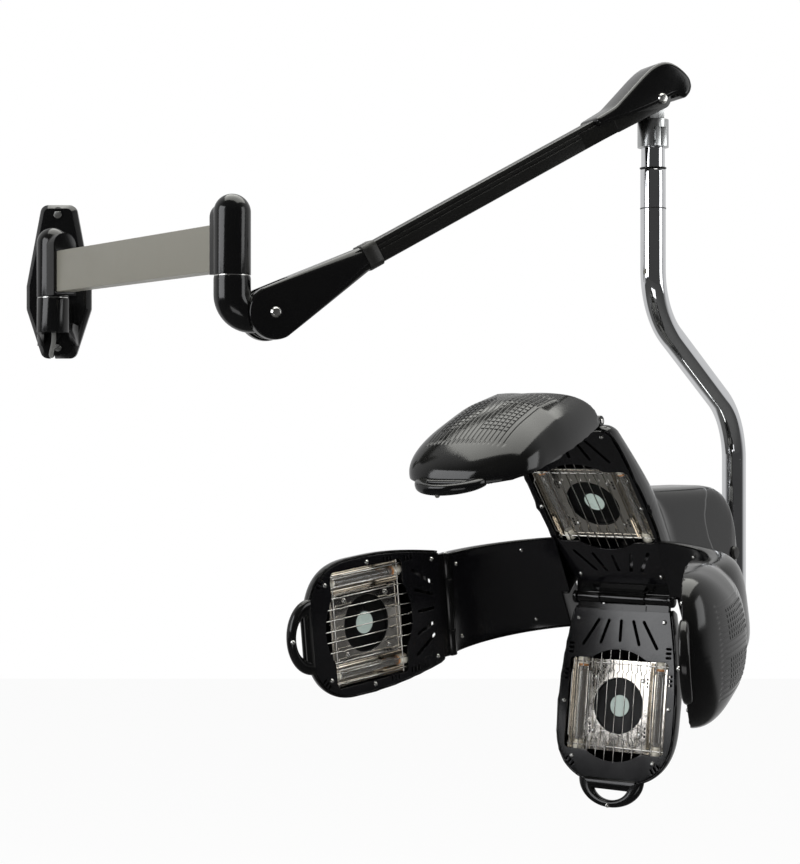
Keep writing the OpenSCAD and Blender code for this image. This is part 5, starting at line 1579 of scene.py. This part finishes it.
def rounded_line(points, passes=2):
    """Corner-cut copy of a closed line"""
    line = [np.array(p, float) for p in points]
    for _ in range(passes):
        pairs = zip(line, line[1:] + line[:1])
        line = [point for p, q in pairs for point in (0.8 * p + 0.2 * q, 0.2 * p + 0.8 * q)]
    return [tuple(p) for p in line]


class HOODDRYER_OT_lift_arm(bpy.types.Operator):
    """Near cover, collar, beam and hooked far cover of the lift arm, with its pins, strut and tie rod"""

    bl_idname = "hood_dryer.lift_arm"
    bl_label = "Lift Arm"

    def execute(self, context):
        at, body = AT["arm"], "lift_arm"
        stations = [-NEAR_R * math.cos(math.radians(a)) for a in np.linspace(2, 90, 25)]
        stations += list(np.linspace(4, NEAR_END, 22))
        rings = [boxed_ring(x, *tapered(x), 4.0 + 9.0 * max(0.0, x / NEAR_END) ** 1.3, 7) for x in stations]
        room = Form()
        for low, high in NEAR_ROOM:
            room.block(low, high, "gloss_black")
        piece = carved("near_cover", Form().skin(rings, "gloss_black"), room, at)
        finish_piece(piece, body, "black_gloss", ("arm_near_cover",), soften=0.7, steps=2, crisp=48.0)
        stations = ((146.2, 0.8), (147, 0), (166, 0), (166.8, 0.8))
        collar = Form().skin([boxed_ring(x, 17.5 - d, 3, 20 - d, 8.0, 8) for x, d in stations], "matte_black")
        build("arm_band", collar, at, body, "black_matte", ("arm_collar",), crisp=50.0)
        beam = Form().skin([beam_ring(x) for x in (80, 576)], "coated_black")
        for side in (-1, 1):
            low, high = sorted(side * y for y in FORK_SIDE)
            turn = np.linspace(math.radians(78), math.radians(-84), 17)
            fork = [(FORK_X, -12), (FORK_X, 12)]
            fork += [(PIN_X + FORK_R * math.cos(a), FORK_R * math.sin(a)) for a in turn]
            beam.plate([fork], -high, -low, "coated_black", turned("X", 90), soften=0.8)
            low, high = sorted((side * BEAM_HW, side * 25))
            beam.block((FORK_X, low, -11.5), (575.5, high, 11.5), "coated_black")
            flank = []
            for x, out in ((500, 16.9), (556, 26.3)):
                corners = ((BEAM_HW, -FLANK_HH), (out, -FLANK_HH), (out, FLANK_HH), (BEAM_HW, FLANK_HH))
                flank.append([(x, side * y, z) for y, z in corners])
            beam.skin(flank, "coated_black")
        build("arm_tube", beam, at, body, "black_aluminium", ("arm_beam",), soften=0.5, steps=2, crisp=30.0)
        line = rounded_line(FAR_PROFILE)
        upright = turned("X", 90)
        cover = Form().plate([line], -FAR_HW, FAR_HW, "gloss_black", upright, soften=FAR_SOFT, steps=6)
        opening = rounded_line(FAR_ROOM, 1)
        room = Form().plate([opening], -FAR_ROOM_HW, FAR_ROOM_HW, "gloss_black", upright)
        piece = carved("far_cover", cover, room, at)
        finish_piece(piece, body, "black_gloss", ("arm_far_cover",), crisp=40.0)
        for node, look in (("arm_pins", "bright"), ("balance_spring", "plated"), ("tie_rod", "plated")):
            softened_node(node, look, soften=0.4)
        return {"FINISHED"}


# Wall plate, knuckles, bar, hanger and bent tube
class HOODDRYER_OT_bracket(bpy.types.Operator):
    """Wall plate with its knuckles, the steel swing bar and the elbow"""

    bl_idname = "hood_dryer.bracket"
    bl_label = "Wall Bracket and Bar"

    def execute(self, context):
        softened_node("wall_plate", "cast_black", soften=2.2, steps=4, crisp=28.0)
        softened_node("wall_screws", "bright", soften=0.6)
        softened_node("terminal_block", "ivory", soften=0.6)
        softened_node("swivel_pins", "bright", soften=0.3)
        self.elbow()
        softened_node("swing_bar", "bar_grey", soften=1.4, steps=4)
        softened_node("wall_knuckle", "cast_black", soften=1.6, steps=4)
        softened_node("elbow_upper", "cast_black", soften=1.6, steps=4)
        return {"FINISHED"}

    BEND, STRAIGHT_TO, CASTING_R, ROOM_R = 25.0, -52.0, 24.0, 35.6
    TONGUE_R, EYE_R, TONGUE = 33, 6, (4.6, 13.8)

    def elbow(self):
        """Lower half of the elbow: a round casting that bends into the tongue between the arm's cheeks"""
        bend, low = self.BEND, self.STRAIGHT_TO
        path = [(0, 0, z) for z in np.linspace(-28.6, low, 8)]
        turn = np.linspace(0, math.pi / 2, 16)[1:]
        path += [(bend * (1 - math.cos(a)), 0, low - bend * math.sin(a)) for a in turn]
        path += [(x, 0, low - bend) for x in (32.0, 40.0, 46.0)]
        radii = [23.4] + [self.CASTING_R] * (len(path) - 1)
        casting = Form().sweep(path, radii, "cast_black", sides=64)
        room, pivot = Form(), shifted(TONGUE_REACH, 0, PIVOT_Z) @ ALONG_Y
        for side in (-1, 1):
            low_y, high_y = sorted((side * 14.0, side * 40.0))
            room.lathe(edge_profile(self.ROOM_R, low_y, high_y, 0.4), "cast_black", pivot, 72)
        piece = carved("elbow_casting", casting, room, AT["elbow"])
        finish_piece(piece, "elbow", "black_casting", ("elbow_lower",), crisp=40.0)
        tongue = Form()
        outline = [(TONGUE_REACH + x, PIVOT_Z + z) for z, x in circle(self.TONGUE_R, 72)]
        eye = [(TONGUE_REACH + x, PIVOT_Z + z) for z, x in circle(self.EYE_R, 32)]
        near, far = self.TONGUE
        for low, high in ((-far, -near), (near, far)):
            tongue.plate([outline, eye], low, high, "cast_black", turned("X", 90), soften=0.8)
        build("elbow_tongue", tongue, AT["elbow"], "elbow", "black_casting", ("elbow_lower",), crisp=40.0)


TUBE_BEND, BEND_FROM, BEND_FALL, TUBE_BACK = 105.0, 292, 147, 246
TUBE_TOP, TUBE_LOW, TUBE_R, TUBE_WALL, LUG_R, LUG_HOLE, LUG_HALF = 93.4, 702.0, 17.5, 1.1, 18, 6.1, 7.0


def tube_path(start, end):
    """Middle line of the bent tube in its own frame, from its top to its lower end"""
    fall = math.atan2(TUBE_BACK, BEND_FALL)
    radius, bend = TUBE_BEND, TUBE_BEND * math.tan(fall / 2)
    first, last = BEND_FROM - bend, BEND_FROM + BEND_FALL + bend
    line = [(0, 0, -z) for z in np.linspace(start, first, 24)]
    for a in np.linspace(0, fall, 40)[1:]:
        line.append((0, radius * (1 - math.cos(a)), -first - radius * math.sin(a)))
    turn = []
    for a in np.linspace(fall, 0, 40):
        turn.append((0, TUBE_BACK - radius * (1 - math.cos(a)), -last + radius * math.sin(a)))
    a, b = np.array(line[-1]), np.array(turn[0])
    line += [tuple(a + (b - a) * t) for t in np.linspace(0, 1, 12)[1:-1]] + turn
    return line + [(0, TUBE_BACK, -z) for z in np.linspace(last, end, 24)[1:]]


class HOODDRYER_OT_tube(bpy.types.Operator):
    """Hanger bracket, bright neck, bent chrome tube and its rings"""

    bl_idname = "hood_dryer.tube"
    bl_label = "Hanger and Tube"

    def execute(self, context):
        softened_node("hanger_bracket", "plated", soften=0.8, steps=3)
        softened_node("tube_neck", "chrome", soften=0.3)
        softened_node("tube_rings", "matte_black", soften=0.3)
        tube = Form()
        tube.sweep(tube_path(TUBE_TOP, TUBE_LOW), TUBE_R, "chrome", sides=72, caps=(False, False))
        build(
            "bent_tube", tube, AT["tube"], "hood_tube", "chrome", ("hood_tube",), wall=TUBE_WALL, crisp=50.0
        )
        foot = shifted(0, TUBE_BACK, 0)
        end = Form().lathe(edge_profile(16.3, -703.0, -699.0, 0.8), "matte_black", foot, 48)
        build("tube_plug", end, AT["tube"], "hood_tube", "chrome", ("hood_tube",))
        lug = Form()
        root, turn = HUB_REACH + TUBE_BACK - 12, np.linspace(0, -math.pi, 25)
        ring = [(TILT_BACK + LUG_R * math.sin(a), -TILT_LOW + LUG_R * math.cos(a)) for a in turn]
        outline = [(root, -TILT_LOW + LUG_R)] + ring + [(root, -TILT_LOW - LUG_R)]
        hole = [(TILT_BACK + x, -TILT_LOW + y) for x, y in circle(LUG_HOLE, 32)]
        upright = np.array([[0, 0, 1, 0], [1, 0, 0, 0], [0, 1, 0, 0], [0, 0, 0, 1.0]])
        lug.plate([outline, hole], -LUG_HALF, LUG_HALF, "chrome", upright, soften=1.0)
        build("tube_lug", lug, AT["head"], "hood_tube", "chrome", ("hood_tube",), crisp=40.0)
        return {"FINISHED"}


CABLE_ROUTE = (
    (-9.5, -8.3, -86), (-9.5, -8.3, -95), (-9.5, -8.3, -103), (-9.5, -9, -108.5), (-9.5, -12.8, -112),
    (-9.5, -18.8, -112.5), (-8.8, -25, -111), (-7, -32, -107), (-4.5, -39, -102), (-2.2, -45.5, -96),
    (-0.6, -50.5, -89.5), (0, -54, -79)
)


def smooth_path(points, steps=6):
    """Catmull-Rom line through points"""
    p = [np.array(q, float) for q in points]
    p = [2 * p[0] - p[1]] + p + [2 * p[-1] - p[-2]]
    line = []
    for k in range(1, len(p) - 2):
        for t in np.linspace(0, 1, steps, endpoint=False):
            a, b, c, d = p[k - 1 : k + 3]
            square, cube = 2 * a - 5 * b + 4 * c - d, 3 * b - a - 3 * c + d
            line.append(0.5 * (2 * b + (c - a) * t + square * t * t + cube * t ** 3))
    return line + [p[-2]]


class HOODDRYER_OT_cable(bpy.types.Operator):
    """Short supply lead held between the lower knuckle and the plate"""

    bl_idname = "hood_dryer.cable"
    bl_label = "Supply Lead"

    def execute(self, context):
        lead = Form().sweep(smooth_path(CABLE_ROUTE), 3.5, "cable", sides=20)
        build("lead", lead, np.eye(4), "wall_mount", "cable_rubber", ("supply_cable",), crisp=60.0)
        return {"FINISHED"}


# Camera, lights, floor and world
def area_light(name, place, target, width, height, power, colour):
    lamp = bpy.data.lights.new(name, "AREA")
    lamp.shape, lamp.size, lamp.size_y = "RECTANGLE", width, height
    lamp.energy, lamp.color = power, colour
    holder = bpy.data.objects.new(name, lamp)
    holder.location = place
    holder.rotation_euler = (Vector(target) - Vector(place)).to_track_quat("-Z", "Y").to_euler()
    bpy.context.scene.collection.objects.link(holder)
    return holder


EYE, AIM, FLOOR_LEVEL, WHITE = (0.518, -3.106, -0.228), (0.55, -0.35, -0.25), -1.45, (1, 1, 1, 1)
LIGHTS = (
    ("overhead", (0.7, 0.1, 2.1), AIM, 3.0, 2.6, 82, (1.0, 1.0, 0.94)),
    ("left_window", (-1.55, -1.4, 0.45), (0.8, -0.4, -0.1), 1.5, 1.5, 29, (0.97, 0.98, 1.0)),
    ("right_window", (2.9, -1.1, 0.5), AIM, 1.0, 1.5, 13, (0.99, 1.0, 1.0)),
    ("low_fill", (0.2, -2.6, -1.2), AIM, 1.4, 0.5, 4, (1.0, 1.0, 1.0)),
)


class HOODDRYER_OT_stage(bpy.types.Operator):
    """Camera at the photograph's viewing angle, soft studio light, pale floor and pale world"""

    bl_idname = "hood_dryer.stage"
    bl_label = "Stage"

    def execute(self, context):
        scene = context.scene
        scene.view_settings.view_transform = "Standard"
        eye = bpy.data.cameras.new("photo_camera")
        eye.lens, eye.sensor_width, eye.clip_end = 85.0, 36.0, 60.0
        camera = bpy.data.objects.new("photo_camera", eye)
        camera.location, camera.rotation_euler = EYE, (math.pi / 2, 0, 0)
        scene.collection.objects.link(camera)
        scene.camera = camera
        for light in LIGHTS:
            area_light(*light)
        self.pale_world(scene)
        floor = bpy.data.meshes.new("floor")
        corners = [(x, y, FLOOR_LEVEL) for x, y in ((-7, -7), (8, -7), (8, 7), (-7, 7))]
        floor.from_pydata(corners, [], [(0, 1, 2, 3)])
        ground = bpy.data.objects.new("floor", floor)
        scene.collection.objects.link(ground)
        material, tree, shader = finish_tree("Pale Floor")
        shader.inputs["Base Color"].default_value = (0.88, 0.88, 0.87, 1)
        shader.inputs["Roughness"].default_value = 0.8
        path = tree.nodes.new("ShaderNodeLightPath")
        gloss = maths(tree, "MAXIMUM", path.outputs["Is Glossy Ray"], path.outputs["Is Transmission Ray"])
        seen = maths(tree, "MULTIPLY", maths(tree, "MAXIMUM", path.outputs["Is Camera Ray"], gloss), 0.93)
        glow = tree.nodes.new("ShaderNodeEmission")
        glow.inputs["Color"].default_value = WHITE
        place = tree.nodes.new("ShaderNodeSeparateXYZ")
        tree.links.new(tree.nodes.new("ShaderNodeTexCoord").outputs["Object"], place.inputs[0])
        far = ranged(tree, place.outputs["Y"], 0.03, 0.6, 0.5, 1.0)
        dimmed = maths(tree, "MULTIPLY", gloss, maths(tree, "SUBTRACT", 1.0, far))
        tree.links.new(maths(tree, "SUBTRACT", 1.0, dimmed), glow.inputs["Strength"])
        mixed = tree.nodes.new("ShaderNodeMixShader")
        tree.links.new(seen, mixed.inputs[0])
        tree.links.new(shader.outputs[0], mixed.inputs[1])
        tree.links.new(glow.outputs[0], mixed.inputs[2])
        output = next(n for n in tree.nodes if n.type == "OUTPUT_MATERIAL")
        tree.links.new(mixed.outputs[0], output.inputs["Surface"])
        floor.materials.append(material)
        return {"FINISHED"}

    def pale_world(self, scene):
        """White to the camera, a white backdrop and a darker room to gloss, a plain light to the rest"""
        world = bpy.data.worlds.new("studio")
        scene.world = world
        world.use_nodes = True
        tree = world.node_tree
        tree.nodes.clear()
        out = tree.nodes.new("ShaderNodeOutputWorld")
        path = tree.nodes.new("ShaderNodeLightPath")
        room = tree.nodes.new("ShaderNodeSeparateXYZ")
        tree.links.new(tree.nodes.new("ShaderNodeTexCoord").outputs["Generated"], room.inputs[0])
        behind = ranged(tree, room.outputs["Y"], 0.05, 0.62, -0.35, 0.35)
        behind.node.interpolation_type = "SMOOTHSTEP"
        clear = maths(tree, "MAXIMUM", path.outputs["Is Glossy Ray"], path.outputs["Is Transmission Ray"])
        lit = maths(tree, "MULTIPLY", maths(tree, "SUBTRACT", 1.0, clear), 0.5)
        strength = maths(tree, "ADD", lit, maths(tree, "MULTIPLY", clear, behind))
        strength = maths(tree, "MAXIMUM", strength, path.outputs["Is Camera Ray"])
        sky = tree.nodes.new("ShaderNodeBackground")
        sky.inputs["Color"].default_value = WHITE
        tree.links.new(strength, sky.inputs["Strength"])
        tree.links.new(sky.outputs[0], out.inputs["Surface"])


class HOODDRYER_PT_panel(bpy.types.Panel):
    """Lists the dryer's sizes, colours and building steps"""

    bl_label = "Hood Dryer"
    bl_idname = "HOODDRYER_PT_panel"
    bl_space_type, bl_region_type, bl_category = "VIEW_3D", "UI", "Hood Dryer"

    def draw(self, context):
        column = self.layout.column()
        for group in (context.scene.hood_dryer_sizes, context.scene.hood_dryer_colours):
            for name in group.__annotations__:
                column.prop(group, name)
        for step in STEPS:
            column.operator(step.bl_idname)


STEPS = (
    HOODDRYER_OT_stage, HOODDRYER_OT_cable, HOODDRYER_OT_bracket, HOODDRYER_OT_lift_arm, HOODDRYER_OT_tube,
    HOODDRYER_OT_hub, HOODDRYER_OT_rear_housing, HOODDRYER_OT_pod_shells, HOODDRYER_OT_panels,
    HOODDRYER_OT_guards, HOODDRYER_OT_heaters, HOODDRYER_OT_fans
)
CLASSES = (HoodDryerSizes, HoodDryerColours, *STEPS, HOODDRYER_PT_panel)


def register():
    for item in CLASSES:
        bpy.utils.register_class(item)
    bpy.types.Scene.hood_dryer_sizes = PointerProperty(type=HoodDryerSizes)
    bpy.types.Scene.hood_dryer_colours = PointerProperty(type=HoodDryerColours)


def unregister():
    del bpy.types.Scene.hood_dryer_sizes
    del bpy.types.Scene.hood_dryer_colours
    for item in reversed(CLASSES):
        bpy.utils.unregister_class(item)


def main():
    register()
    make_finishes(bpy.context.scene.hood_dryer_colours)
    TREES.update(seated=seated_tree(), wire=wire_tree(), spun=spun_tree())
    for step in STEPS:
        group, name = step.bl_idname.split(".")
        getattr(getattr(bpy.ops, group), name)()
    for holder in DETAILS.values():
        bpy.data.objects.remove(holder)


if __name__ == "__main__":
    main()
